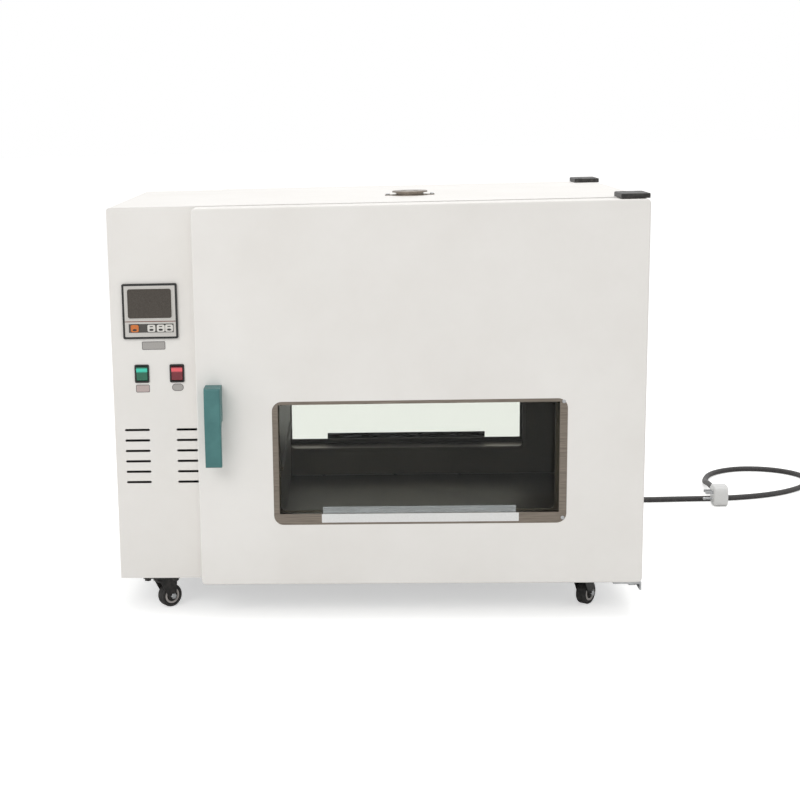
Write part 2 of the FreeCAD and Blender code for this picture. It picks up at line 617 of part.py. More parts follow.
def door(rear):
    """One door: pressed skin, lining, wool, window trim, two panes, latch lever and cam."""
    name = "rear" if rear else "front"
    low, high = "door_play", "case_height - door_play"
    left, right = "door_left", "door_left + door_width"
    skin = piece(name + "_door_skin")
    across(skin, "block", lambda sk: rrect(sk, left, low, right, high, "door_corner"),
           "-door_face", "-door_air", rear=rear)
    face = value(mirrored(rear, "-door_face"))
    soften(skin, "edge", lambda e: flush(e, y=face), "door_edge")
    across(skin, "hollow", lambda sk: rrect(
        sk, left + " + wall", low + " + wall", right + " - wall", high + " - wall",
        "door_corner - wall"), "-door_face + wall", "-door_air", cut=True, rear=rear)
    across(skin, "window", lambda sk: rrect(
        sk, "window_left", "window_low", "window_left + window_width",
        "window_low + window_height", "window_corner"),
        "-door_face", "-door_face + wall", cut=True, rear=rear)
    across(skin, "spindle_hole", lambda sk: ring(
        sk, "latch_x", "latch_z", "spindle_radius + spindle_play"),
        "-door_face", "-door_face + wall", cut=True, rear=rear)
    pin_y = mirrored(rear, "-door_face / 2")
    for end, bottom, top in (("low", low, low + " + wall"), ("top", high + " - wall", high)):
        upright(skin, end + "_pin_hole", lambda sk: ring(
            sk, "hinge_x", pin_y, "pin_radius + pin_play"), bottom, top, cut=True)

    lining = piece(name + "_door_lining")
    across(lining, "sheet", lambda sk: rrect(
        sk, left + " + wall", low + " + wall", right + " - wall", high + " - wall",
        "door_corner - wall"), "-door_air - liner_wall", "-door_air", rear=rear)
    across(lining, "step", lambda sk: rrect(
        sk, "chamber_left + plug_play", "chamber_floor + plug_play",
        "chamber_left + chamber_width - plug_play",
        "chamber_floor + chamber_height - plug_play", "plug_corner"),
        "-door_air - liner_wall", "plug_depth", rear=rear)
    across(lining, "lip", lambda sk: rrect(
        sk, "pane_left - lip_rim", "pane_low - 2 * lip_rim",
        "pane_left + pane_width + lip_rim", "pane_low + pane_height + lip_rim",
        "lip_corner"), "plug_depth", "plug_depth + lip_rise", rear=rear)
    crown = value(mirrored(rear, "plug_depth + lip_rise"))
    soften(lining, "lip_edge", lambda e: flush(e, y=crown), "1.5")
    across(lining, "hollow", lambda sk: rrect(
        sk, "chamber_left + plug_play + liner_wall", "chamber_floor + plug_play + liner_wall",
        "chamber_left + chamber_width - plug_play - liner_wall",
        "chamber_floor + chamber_height - plug_play - liner_wall",
        "plug_corner - liner_wall"),
        "-door_air - liner_wall", "plug_depth - liner_wall", cut=True, rear=rear)
    across(lining, "window", lambda sk: rrect(
        sk, "pane_left", "pane_low - lip_rim", "pane_left + pane_width",
        "pane_low + pane_height", "lip_corner - lip_rim"),
        "plug_depth - liner_wall", "plug_depth + lip_rise", cut=True, rear=rear)
    across(lining, "spindle_hole", lambda sk: ring(
        sk, "latch_x", "latch_z", "spindle_radius + spindle_play"),
        "-door_air - liner_wall", "-door_air", cut=True, rear=rear)

    trim = piece(name + "_window_trim")
    tunnel_left = "pane_left - pane_lap"
    tunnel_right = "pane_left + pane_width + pane_lap"
    tunnel_low = "pane_low - pane_lap"
    tunnel_high = "pane_low + pane_height + pane_lap"
    across(trim, "flange", lambda sk: rect(
        sk, "window_left - trim_lap", "window_low - trim_lap",
        "window_left + window_width + trim_lap", "window_low + window_height + trim_lap"),
        "-door_face + wall", "-door_face + 2 * wall", rear=rear)
    across(trim, "tunnel", lambda sk: rect(
        sk, tunnel_left + " - liner_wall", tunnel_low + " - liner_wall",
        tunnel_right + " + liner_wall", tunnel_high + " + liner_wall"),
        "-door_face + wall", "plug_depth - liner_wall", rear=rear)
    across(trim, "hollow", lambda sk: rect(
        sk, tunnel_left, tunnel_low, tunnel_right, tunnel_high),
        "-door_face + 2 * wall", "plug_depth - liner_wall", cut=True, rear=rear)
    across(trim, "opening", lambda sk: rect(
        sk, "pane_left", "pane_low", "pane_left + pane_width", "pane_low + pane_height"),
        "-door_face + wall", "-door_face + 2 * wall", cut=True, rear=rear)

    for pane, start in (("outer", "-door_face + 2 * wall"),
                        ("inner", "plug_depth - liner_wall - glass_thick")):
        glass = piece(name + "_" + pane + "_glass")
        across(glass, "pane", lambda sk: rect(
            sk, tunnel_left + " + glass_play", tunnel_low + " + glass_play",
            tunnel_right + " - glass_play", tunnel_high + " - glass_play"),
            start, start + " + glass_thick", rear=rear)

    fill = piece(name + "_door_wool")
    across(fill, "block", lambda sk: rect(
        sk, left + " + wool_side", low + " + wool_end", right + " - wool_right",
        high + " - wool_end"), "-door_face + 2 * wall + wool_play",
        "-door_air - liner_wall", rear=rear)
    across(fill, "window", lambda sk: rect(
        sk, tunnel_left + " - liner_wall", tunnel_low + " - liner_wall",
        tunnel_right + " + liner_wall", tunnel_high + " + liner_wall"),
        "-door_face + 2 * wall", "-door_air", cut=True, rear=rear)
    across(fill, "spindle_hole", lambda sk: ring(
        sk, "latch_x", "latch_z", "spindle_radius + wool_play"),
        "-door_face + 2 * wall", "-door_air", cut=True, rear=rear)

    # The lever's side view: hub on the door, grip standing free below it
    lever = piece(name + "_lever")
    out = [("lever_play", "lever_up"), ("lever_top_reach", "lever_up"),
           ("lever_mid_reach", "-lever_hub + 6"), ("lever_end_reach", "-lever_down"),
           ("lever_end_reach - grip_thick", "-lever_down"),
           ("lever_mid_reach - grip_thick - 2", "-lever_hub - 8"),
           ("lever_mid_reach - grip_thick - 12", "-lever_hub"),
           ("lever_play", "-lever_hub")]
    sideways(lever, "profile", lambda sk: poly(sk, [
        (mirrored(rear, "-door_face - (%s)" % a), "latch_z + (%s)" % b) for a, b in out]),
        "latch_x - lever_width / 2", "latch_x + lever_width / 2")
    foot = value(mirrored(rear, "-door_face - lever_play"))
    soften(lever, "edges", lambda e: abs(e.BoundBox.YMin - foot) > 1
           and abs(e.BoundBox.YMax - foot) > 1
           and min(abs(e.BoundBox.YMin - foot), abs(e.BoundBox.YMax - foot)) > 36,
           "lever_edge")
    across(lever, "seat", lambda sk: ring(
        sk, "latch_x", "latch_z", "spindle_radius + spindle_play"),
           "-door_face - spindle_seat", "-door_face", cut=True, rear=rear)

    cam = piece(name + "_latch_cam")
    across(cam, "spindle", lambda sk: ring(sk, "latch_x", "latch_z", "spindle_radius"),
           "-door_face - spindle_seat", "spindle_reach", rear=rear)
    across(cam, "tongue", lambda sk: rrect(
        sk, "latch_x - cam_width / 2", "latch_z - cam_down", "latch_x + cam_width / 2",
        "latch_z + cam_up + 3", "2"), "spindle_reach - cam_thick", "spindle_reach", rear=rear)

    seal = piece(name + "_seal")
    inner = ["chamber_left - seal_inset", "chamber_floor - seal_inset",
             "chamber_left + chamber_width + seal_inset",
             "chamber_floor + chamber_height + seal_inset"]
    outer = [inner[0] + " - seal_width", inner[1] + " - seal_width",
             inner[2] + " + seal_width", inner[3] + " + seal_width"]
    across(seal, "strip", lambda sk: rrect(sk, *outer, "seal_corner"),
           "-door_air + seal_gap", "0", rear=rear)
    across(seal, "inside", lambda sk: rrect(sk, *inner, "seal_corner / 2"),
           "-door_air + seal_gap", "0", cut=True, rear=rear)
    crest = value(mirrored(rear, "-door_air + seal_gap"))
    soften(seal, "crest", lambda e: flush(e, y=crest), "1.6")

    # Hinge brackets: a block on the roof and a plate with a folded tab under the case
    y0, y1 = mirrored(rear, "-hinge_front"), mirrored(rear, "hinge_back")
    if rear:
        y0, y1 = y1, y0
    upper = piece(name + "_upper_hinge")
    upright(upper, "block", lambda sk: rrect(
        sk, "hinge_left", y0, "hinge_right", y1, "hinge_corner"),
        "case_height", "case_height + hinge_block")
    soften(upper, "edge", lambda e: flush(e, z=value("case_height + hinge_block")), "2")
    upright(upper, "pin", lambda sk: ring(sk, "hinge_x", pin_y, "pin_radius"),
            "case_height - pin_length", "case_height")
    for k, x in enumerate(("hinge_left + 12", "hinge_right - 12")):
        upright(upper, "screw_%d" % k, lambda sk: ring(
            sk, x, mirrored(rear, "hinge_back / 2"), "2 * hinge_screw"),
            "case_height + hinge_block - 3", "case_height + hinge_block + 1", cut=True)
    lower = piece(name + "_lower_hinge")
    upright(lower, "plate", lambda sk: rect(sk, "hinge_left", y0, "hinge_right", y1),
            "-hinge_plate", "0")
    upright(lower, "tab", lambda sk: rect(
        sk, "hinge_right - hinge_plate", y0, "hinge_right", y1), "-hinge_tab", "-hinge_plate")
    upright(lower, "pin", lambda sk: ring(sk, "hinge_x", pin_y, "pin_radius"),
            "0", "pin_length")
    upright(lower, "nut", lambda sk: hexagon(sk, "hinge_x - 1", pin_y, "nut_width"),
            "-hinge_plate - nut_height", "-hinge_plate")


door(False)
door(True)

# Fan motor in the column, and the fan wheel with its shaft in the chamber
motor = piece("fan_motor")
sideways(motor, "plate", lambda sk: rrect(
    sk, "fan_y - motor_half", "fan_z - motor_half", "fan_y + motor_half",
    "fan_z + motor_half", "10"), "panel_width - motor_plate", "panel_width")
sideways(motor, "case", lambda sk: ring(sk, "fan_y", "fan_z", "motor_radius"),
         "panel_width - motor_plate - motor_length", "panel_width - motor_plate")
sideways(motor, "bearing", lambda sk: ring(sk, "fan_y", "fan_z", "shaft_radius + shaft_play"),
         "panel_width - motor_length / 2", "panel_width", cut=True)
fan = piece("fan_wheel", y="fan_y", z="fan_z")
sideways(fan, "disc", lambda sk: ring(sk, "0", "0", "fan_radius"),
         "fan_back", "fan_back + fan_disc")
sideways(fan, "hub", lambda sk: ring(sk, "0", "0", "hub_radius"),
         "fan_back - 6", "fan_back + fan_depth - 6")
blade = sideways(fan, "blade", lambda sk: poly(sk, [
    ("-blade_thick / 2", "blade_inner"), ("blade_thick / 2", "blade_inner"),
    ("blade_thick / 2 + 12", "fan_radius - 3"), ("-blade_thick / 2 + 12", "fan_radius - 3")]),
    "fan_back + fan_disc", "fan_back + fan_depth")
spin = fan.newObject("PartDesign::PolarPattern", "fan_blades")
spin.Originals = [blade]
spin.Axis = ([o for o in fan.Origin.OriginFeatures if o.Role == "X_Axis"][0], [""])
spin.Angle = 360
spin.Occurrences = 16
fan.Tip = spin
sideways(fan, "rim", lambda sk: (ring(sk, "0", "0", "fan_radius"),
                                 ring(sk, "0", "0", "fan_radius - 8")),
         "fan_back + fan_depth - 2", "fan_back + fan_depth")
sideways(fan, "shaft", lambda sk: ring(sk, "0", "0", "shaft_radius"),
         "panel_width - motor_length / 2 + 2", "fan_back")

# Tubular heater: a ring round the fan with two tails through the chamber's wall
torus = doc.addObject("Part::Torus", "heater_loop")
torus.setExpression("Radius1", ref("heater_ring"))
torus.setExpression("Radius2", ref("heater_radius"))
torus.setExpression("Placement", "create(<<placement>>; create(<<vector>>; %s; %s; %s); "
                    "create(<<rotation>>; create(<<vector>>; 0; 1; 0); 90))" % (
                        ref("heater_x"), ref("fan_y"), ref("fan_z")))
tails = []
for k, side in enumerate(("-", "+")):
    tail = doc.addObject("Part::Cylinder", "heater_tail_%d" % k)
    tail.setExpression("Radius", ref("heater_radius"))
    tail.setExpression("Height", ref("heater_x - heater_tail"))
    tail.setExpression("Placement", "create(<<placement>>; create(<<vector>>; %s; %s; %s); "
                       "create(<<rotation>>; create(<<vector>>; 0; 1; 0); 90))" % (
                           ref("heater_tail"), ref("fan_y " + side + " tail_across"),
                           ref("fan_z - heater_ring")))
    tails.append(tail)
heater = doc.addObject("Part::MultiFuse", "heater")
heater.Shapes = [torus] + tails
heater.Label = "heater"
put(heater)
PIECES.append(heater)

# Temperature probe through the chamber's wall
probe = piece("temperature_probe")
sideways(probe, "rod", lambda sk: ring(sk, "probe_y", "probe_z", "probe_radius"),
         "probe_tail", "probe_tip")
sideways(probe, "head", lambda sk: ring(sk, "probe_y", "probe_z", "probe_head"),
         "panel_width - probe_nut", "panel_width")

# Cord gland in the rear panel: threaded body, two hexagons and the domed clamping nut
gland = piece("cord_gland")
across(gland, "thread", lambda sk: ring(sk, "gland_x", "gland_z", "gland_body"),
       "-gland_nose - gland_step", "wall + gland_nut", rear=True)
across(gland, "flange", lambda sk: hexagon(sk, "gland_x", "gland_z", "gland_width"),
       "-gland_step", "0", rear=True)
across(gland, "clamp", lambda sk: hexagon(sk, "gland_x", "gland_z", "gland_width - 2"),
       "-gland_nose - gland_step + gland_dome", "-gland_step - 1", rear=True)
across(gland, "nut", lambda sk: hexagon(sk, "gland_x", "gland_z", "gland_width"),
       "wall", "wall + gland_nut", rear=True)
nose = value(mirrored(True, "-gland_nose - gland_step"))
soften(gland, "dome", lambda e: flush(e, y=nose), "3")

# Front castors: plate with its kingpin, swivelling fork with the axle, wheel
for side in ("left", "right"):
    where = dict(x="castor_" + side, y="castor_front")
    plate = piece("front_%s_castor_plate" % side, **where)
    upright(plate, "plate", lambda sk: rrect(
        sk, "-castor_long / 2", "-castor_short / 2", "castor_long / 2", "castor_short / 2",
        "4"), "-castor_plate", "0")
    upright(plate, "race", lambda sk: ring(sk, "0", "0", "race_radius"),
            "-castor_plate - castor_race", "-castor_plate")
    upright(plate, "kingpin", lambda sk: ring(sk, "0", "0", "kingpin_radius"),
            "-castor_plate - castor_race - castor_gap - fork_top - 1",
            "-castor_plate - castor_race")
    turned = dict(where, turn="turn_" + side)
    fork = piece("front_%s_fork" % side, **turned)
    top = "-castor_plate - castor_race - castor_gap"
    upright(fork, "crown", lambda sk: rrect(
        sk, "-race_radius", "-wheel_width / 2 - wheel_gap - fork_wall",
        "castor_trail + fork_half", "wheel_width / 2 + wheel_gap + fork_wall", "3"),
        top + " - fork_top", top)
    upright(fork, "pin_hole", lambda sk: ring(sk, "0", "0", "kingpin_radius + kingpin_play"),
            top + " - fork_top", top, cut=True)
    hub = "-stand_height + wheel_radius"
    for k, (a, b) in enumerate((
            ("-wheel_width / 2 - wheel_gap - fork_wall", "-wheel_width / 2 - wheel_gap"),
            ("wheel_width / 2 + wheel_gap", "wheel_width / 2 + wheel_gap + fork_wall"))):
        across(fork, "leg_%d" % k, lambda sk: poly(sk, [
            ("-race_radius + 3", top + " - fork_top"),
            ("castor_trail - fork_half + 2", hub + " - 5"),
            ("castor_trail + fork_half - 3", hub + " - 5"),
            ("castor_trail + fork_half", top + " - fork_top")]), a, b)
    across(fork, "axle", lambda sk: ring(sk, "castor_trail", hub, "axle_radius"),
           "-wheel_width / 2 - wheel_gap - fork_wall",
           "wheel_width / 2 + wheel_gap + fork_wall")
    for k, (a, b) in enumerate((
            ("-wheel_width / 2 - wheel_gap - fork_wall - head_thick",
             "-wheel_width / 2 - wheel_gap - fork_wall"),
            ("wheel_width / 2 + wheel_gap + fork_wall",
             "wheel_width / 2 + wheel_gap + fork_wall + head_thick"))):
        across(fork, "head_%d" % k, lambda sk: ring(sk, "castor_trail", hub, "axle_head"),
               a, b)

# Rear castors: fork and plate pressed as one, wheel rolling front to rear
for side in ("left", "right"):
    where = dict(x="castor_" + side, y="castor_rear")
    fork = piece("rear_%s_fork" % side, **where)
    hub = "-stand_height + wheel_radius"
    upright(fork, "plate", lambda sk: rrect(
        sk, "-castor_long / 2", "-castor_short / 2", "castor_long / 2", "castor_short / 2",
        "4"), "-castor_plate", "0")
    for k, (a, b) in enumerate((
            ("-wheel_width / 2 - wheel_gap - fork_wall", "-wheel_width / 2 - wheel_gap"),
            ("wheel_width / 2 + wheel_gap", "wheel_width / 2 + wheel_gap + fork_wall"))):
        sideways(fork, "leg_%d" % k, lambda sk: poly(sk, [
            ("-race_radius - 3", "-castor_plate"), ("-fork_half + 2", hub + " - 5"),
            ("fork_half - 2", hub + " - 5"), ("race_radius + 3", "-castor_plate")]), a, b)
    sideways(fork, "axle", lambda sk: ring(sk, "0", hub, "axle_radius"),
             "-wheel_width / 2 - wheel_gap - fork_wall - head_thick",
             "wheel_width / 2 + wheel_gap + fork_wall + head_thick")


def wheel(name, plane, along, **where):
    """Castor wheel: tyre, dished side faces and a bored hub, on the fork's axle."""
    body = piece(name, **where)
    hub = "-stand_height + wheel_radius"
    half = "wheel_width / 2"
    layer(body, "tyre", plane, lambda sk: ring(sk, along, hub, "wheel_radius"),
          "-" + half, half)
    soften(body, "tread", lambda e: e.BoundBox.ZLength > 1.9 * value("wheel_radius"), "3")
    for k, (a, b) in enumerate((("-" + half, "-" + half + " + dish_depth"),
                                (half + " - dish_depth", half))):
        layer(body, "dish_%d" % k, plane, lambda sk: (
            ring(sk, along, hub, "dish_radius"), ring(sk, along, hub, "boss_radius")),
            a, b, cut=True)
    layer(body, "bore", plane, lambda sk: ring(sk, along, hub, "axle_radius + axle_play"),
          "-" + half, half, cut=True)


for side in ("left", "right"):
    wheel("front_%s_wheel" % side, "XZ", "castor_trail", x="castor_" + side,
          y="castor_front", turn="turn_" + side)
    wheel("rear_%s_wheel" % side, "YZ", "0", x="castor_" + side, y="castor_rear")

# Plug: rounded block on its edge, two blades and an earth pin, boss for the lead
plug = piece("power_plug")
plug_top = "-stand_height + plug_side"
sideways(plug, "block", lambda sk: rrect(
    sk, "plug_y", "-stand_height", "plug_y + plug_side", plug_top, "plug_round"),
    "plug_x", "plug_x + plug_thick")
soften(plug, "edge", lambda e: flush(e, x=value("plug_x")) or flush(
    e, x=value("plug_x + plug_thick")), "plug_edge")
boss_z = "-stand_height + plug_side / 2"
across(plug, "boss", lambda sk: ring(sk, "plug_x + boss_along", boss_z, "boss_size"),
       "plug_y + plug_side - 3", "plug_y + plug_side + boss_long")
for k, (y, z) in enumerate((("plug_side / 2 - 9", "plug_side / 2 + 7"),
                            ("plug_side / 2 + 9", "plug_side / 2 + 7"))):
    sideways(plug, "blade_%d" % k, lambda sk: rect(
        sk, "plug_y + " + y + " - blade_high / 2",
        "-stand_height + " + z + " - blade_wide / 2",
        "plug_y + " + y + " + blade_high / 2",
        "-stand_height + " + z + " + blade_wide / 2"),
        "plug_x - blade_long", "plug_x + 1")
sideways(plug, "earth", lambda sk: ring(
    sk, "plug_y + plug_side / 2", "-stand_height + plug_side / 2 - 8", "earth_radius"),
    "plug_x - blade_long - 3", "plug_x + 1")

# Mains lead: straight runs joined by tangent arcs, from the gland to the plug's boss
floor_z = value("-stand_height + cord_radius")
mouth_y = value("body_depth + gland_step + gland_nose")
plug_end = value("plug_y + plug_side + boss_long")
ROUTE = [
    (value("gland_x"), mouth_y, value("gland_z")),
    (value("gland_x"), mouth_y + 52, value("gland_z")),
    (90, mouth_y + 122, 26),
    (112, mouth_y + 178, -30),
    (166, mouth_y + 204, floor_z),
    (280, mouth_y + 214, floor_z),
    (430, mouth_y + 203, floor_z),
    (590, mouth_y + 198, floor_z),
    (750, mouth_y + 205, floor_z),
    (905, mouth_y + 201, floor_z),
    (1050, mouth_y + 195, floor_z),
    (1160, mouth_y + 201, floor_z),
    (1275, mouth_y + 206, floor_z),
    (1380, mouth_y + 246, floor_z),
    (1458, mouth_y + 322, floor_z),
    (1478, mouth_y + 412, floor_z),
    (1425, mouth_y + 482, floor_z),
    (1340, mouth_y + 500, floor_z),
    (1264, mouth_y + 452, floor_z),
    (1232, mouth_y + 366, floor_z),
    (value("plug_x + boss_along"), plug_end + 78, value(boss_z)),
    (value("plug_x + boss_along"), plug_end, value(boss_z)),
]


def cord_path(points):
    """Edges of the route, with one arc at each inner point, and the smallest radius."""
    at = [FreeCAD.Vector(*p) for p in points]
    edges = []
    radii = []
    last = at[0]
    for k in range(1, len(at) - 1):
        to, away = at[k - 1] - at[k], at[k + 1] - at[k]
        shorter = min(to.Length, away.Length)
        turn = math.pi - to.getAngle(away)
        cut = 0.45 * shorter
        radii.append(cut / math.tan(turn / 2))
        to.normalize()
        away.normalize()
        start, end = at[k] + to * cut, at[k] + away * cut
        middle = to + away
        middle.normalize()
        rise = radii[-1] / math.cos(turn / 2) - radii[-1]
        edges.append(Part.LineSegment(last, start).toShape())
        edges.append(Part.Arc(start, at[k] + middle * rise, end).toShape())
        last = end
    edges.append(Part.LineSegment(last, at[-1]).toShape())
    return edges, radii


edges, radii = cord_path(ROUTE)
runs = [math.dist(a, b) for a, b in zip(ROUTE, ROUTE[1:])]
print("lead radii", " ".join("%.0f" % r for r in radii))
print("lead runs", " ".join("%.0f" % r for r in runs))
wire = Part.Wire(edges)
first = wire.Edges[0]
start_way = first.tangentAt(first.FirstParameter)
section = Part.Wire([Part.makeCircle(value("cord_radius"), first.Vertexes[0].Point, start_way)])
tube = wire.makePipeShell([section], True, False)
expected = math.pi * value("cord_radius") ** 2 * wire.Length
print("lead length %.0f volume ratio %.4f" % (wire.Length, tube.Volume / expected))
cord = doc.addObject("Part::Feature", "power_cord")
cord.Label = "power_cord"
cord.Shape = tube
put(cord)
PIECES.append(cord)

doc.recompute()
bad = []
for thing in doc.Objects:
    if "Invalid" in thing.State or "Error" in thing.State:
        bad.append(thing.Name + " " + str(thing.State))
for thing in PIECES:
    if thing.Shape.isNull() or not thing.Shape.isValid() or len(thing.Shape.Solids) != 1:
        bad.append(thing.Name + " shape, %d solids" % len(thing.Shape.Solids))
if bad:
    raise RuntimeError("; ".join(bad))
if abs(tube.Volume / expected - 1) > 0.01:
    raise RuntimeError("the lead's volume is wrong")
os.makedirs("parts", exist_ok=True)
for old in os.listdir("parts"):
    os.remove(os.path.join("parts", old))
for thing in PIECES:
    thing.Shape.exportStep(os.path.join("parts", thing.Label + ".step"))
print(len(PIECES), "pieces")
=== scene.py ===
import math

import bmesh
import bpy
import numpy as np
from mathutils import Matrix, Vector


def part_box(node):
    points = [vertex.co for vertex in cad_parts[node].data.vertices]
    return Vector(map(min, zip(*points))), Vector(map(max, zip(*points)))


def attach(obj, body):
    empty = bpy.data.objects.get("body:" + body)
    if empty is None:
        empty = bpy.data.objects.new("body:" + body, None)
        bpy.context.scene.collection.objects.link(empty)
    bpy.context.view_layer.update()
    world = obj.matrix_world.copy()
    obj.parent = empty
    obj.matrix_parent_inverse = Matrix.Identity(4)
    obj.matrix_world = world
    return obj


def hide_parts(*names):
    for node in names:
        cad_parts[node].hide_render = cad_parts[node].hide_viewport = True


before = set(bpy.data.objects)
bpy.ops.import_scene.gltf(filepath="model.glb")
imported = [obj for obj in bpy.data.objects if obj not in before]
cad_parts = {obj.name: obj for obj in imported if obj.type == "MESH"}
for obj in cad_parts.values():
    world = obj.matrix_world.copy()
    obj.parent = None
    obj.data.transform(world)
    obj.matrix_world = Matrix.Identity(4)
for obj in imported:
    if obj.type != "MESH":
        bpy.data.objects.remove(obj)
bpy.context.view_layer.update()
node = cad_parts

# Outer case, front and rear sheets and the two door skins.
# Folded 1.5 mm steel sheet, powder coated in a warm white after folding: a fine
# orange-peel skin with faint clouding and a little dust low down.


def new_finish(name, rough, metal=0.0, colour=None):
    """A material with its Principled shader: returns (material, node maker, link maker, shader)."""
    m = bpy.data.materials.new(name)
    m.use_nodes = True
    tree = m.node_tree
    shader = tree.nodes["Principled BSDF"]
    shader.inputs["Roughness"].default_value = rough
    shader.inputs["Metallic"].default_value = metal
    if colour is not None:
        shader.inputs["Base Color"].default_value = (*colour, 1.0)

    def make(kind, **settings):
        n = tree.nodes.new(kind)
        for key, given in settings.items():
            if key in n.inputs:
                n.inputs[key].default_value = given
            else:
                setattr(n, key, given)
        return n

    return m, make, tree.links.new, shader


def speckle(make, link, scale, detail=3.0, rough=0.5, stretch=(1, 1, 1)):
    """Noise read at the piece's own place in metres, scale grains per metre along each axis."""
    place = make("ShaderNodeTexCoord")
    mapping = make("ShaderNodeMapping")
    mapping.inputs["Scale"].default_value = stretch
    noise = make("ShaderNodeTexNoise", Scale=scale, Detail=detail, Roughness=rough)
    link(place.outputs["Object"], mapping.inputs["Vector"])
    link(mapping.outputs["Vector"], noise.inputs["Vector"])
    return noise.outputs["Fac"]


def ramp(make, link, fac, stops):
    """A colour ramp over fac: stops are (place, (r, g, b))."""
    r = make("ShaderNodeValToRGB")
    while len(r.color_ramp.elements) < len(stops):
        r.color_ramp.elements.new(0.5)
    for element, (place, colour) in zip(r.color_ramp.elements, stops):
        element.position = place
        element.color = (*colour, 1.0)
    link(fac, r.inputs["Fac"])
    return r.outputs["Color"]


def relief(make, link, shader, height, depth):
    """Bump of the given depth in metres from a height between 0 and 1."""
    bump = make("ShaderNodeBump", Strength=1.0, Distance=depth)
    link(height, bump.inputs["Height"])
    link(bump.outputs["Normal"], shader.inputs["Normal"])


def wear(make, link, shader, low, high, fac):
    """Roughness from low to high as fac goes from 0 to 1."""
    spread = make("ShaderNodeMapRange")
    spread.inputs["To Min"].default_value = low
    spread.inputs["To Max"].default_value = high
    link(fac, spread.inputs["Value"])
    link(spread.outputs["Result"], shader.inputs["Roughness"])


def dress(finish, *names):
    """Give CAD nodes a finish in place of the plain one that they came with."""
    for n in names:
        node[n].data.materials.clear()
        node[n].data.materials.append(finish)


def powder_coat():
    m, make, link, shader = new_finish("powder_coat_white", 0.42)
    clouds = speckle(make, link, 5.0, detail=5.0, rough=0.6)
    link(ramp(make, link, clouds, [(0.3, (0.81, 0.785, 0.75)), (0.7, (0.86, 0.84, 0.81))]),
         shader.inputs["Base Color"])
    peel = speckle(make, link, 900.0, detail=2.0)
    wear(make, link, shader, 0.36, 0.5, clouds)
    relief(make, link, shader, peel, 0.00006)
    shader.inputs["Specular IOR Level"].default_value = 0.4
    return m


white_paint = powder_coat()
dress(white_paint, "outer_case", "front_frame", "rear_frame", "control_panel", "rear_panel",
      "front_door_skin", "rear_door_skin")

# Base tray, column wall, latch cams and lower hinge plates.
# Zinc-plated steel: a bluish grey skin with crystal patches, cut and folded bare.


def zinc_plate():
    m, make, link, shader = new_finish("zinc_plate", 0.4, metal=0.9)
    flakes = make("ShaderNodeTexVoronoi", Scale=70.0)
    place = make("ShaderNodeTexCoord")
    link(place.outputs["Object"], flakes.inputs["Vector"])
    link(ramp(make, link, flakes.outputs["Distance"],
              [(0.0, (0.62, 0.63, 0.64)), (0.6, (0.46, 0.47, 0.48))]),
         shader.inputs["Base Color"])
    wear(make, link, shader, 0.3, 0.5, speckle(make, link, 60.0))
    return m


zinc = zinc_plate()
dress(zinc, "base_tray", "column_wall", "front_latch_cam", "rear_latch_cam",
      "front_lower_hinge", "rear_lower_hinge")

# Chamber tube, duct wall and the doors' inner linings.
# Thin cold-rolled steel with a drawn grain. Its dark dull olive brown is painted shade of the
# closed chamber, with a painted brown reflection in it.


def steel_painted_shade():
    m, make, link, shader = new_finish("steel_painted_shade", 0.45, metal=0.35)
    grain = speckle(make, link, 60.0, detail=6.0, stretch=(1, 14, 14))
    stains = speckle(make, link, 7.0, detail=4.0)
    mix = make("ShaderNodeMix", data_type="FLOAT", Factor=0.35)
    link(stains, mix.inputs["A"])
    link(grain, mix.inputs["B"])
    # Very dark olive brown base colours: painted shade of the chamber's inside, browned as a
    # painted reflection.
    link(ramp(make, link, mix.outputs["Result"],
              [(0.35, (0.075, 0.060, 0.040)), (0.62, (0.125, 0.104, 0.072))]),
         shader.inputs["Base Color"])
    wear(make, link, shader, 0.34, 0.52, grain)
    relief(make, link, shader, grain, 0.00008)
    return m


dark_steel = steel_painted_shade()
dress(dark_steel, "chamber", "duct_wall", "front_door_lining", "rear_door_lining")

# Mineral wool round the chamber and in the doors: pale yellow fibre, soft and matt.


def mineral_wool():
    m, make, link, shader = new_finish("mineral_wool", 0.95)
    fibre = speckle(make, link, 160.0, detail=8.0, rough=0.7, stretch=(1, 1, 4))
    link(ramp(make, link, fibre, [(0.3, (0.50, 0.42, 0.24)), (0.7, (0.78, 0.70, 0.50))]),
         shader.inputs["Base Color"])
    relief(make, link, shader, fibre, 0.002)
    shader.inputs["Sheen Weight"].default_value = 0.3
    return m


dress(mineral_wool(), "chamber_wool", "front_door_wool", "rear_door_wool")

# Fan motor, fan wheel, tubular heater and temperature probe.
# Cast alloy motor case, pressed bright fan wheel, heater sheath browned by heat.


def cast_alloy():
    m, make, link, shader = new_finish("cast_alloy", 0.5, metal=0.8)
    grain = speckle(make, link, 400.0)
    link(ramp(make, link, grain, [(0.3, (0.42, 0.43, 0.44)), (0.7, (0.55, 0.56, 0.57))]),
         shader.inputs["Base Color"])
    relief(make, link, shader, grain, 0.0002)
    return m


def heated_sheath():
    m, make, link, shader = new_finish("heated_sheath", 0.45, metal=0.85)
    tint = speckle(make, link, 25.0, detail=4.0)
    link(ramp(make, link, tint, [(0.3, (0.20, 0.15, 0.11)), (0.55, (0.33, 0.27, 0.21)),
                                 (0.75, (0.24, 0.24, 0.27))]), shader.inputs["Base Color"])
    wear(make, link, shader, 0.35, 0.55, tint)
    return m


alloy = cast_alloy()
dress(alloy, "fan_motor", "fan_wheel")
dress(heated_sheath(), "heater", "temperature_probe")

# Window trims, roof vent collar and its turning cap.
# Satin stainless sheet, browned and dark, with a fine brushed grain along the width.


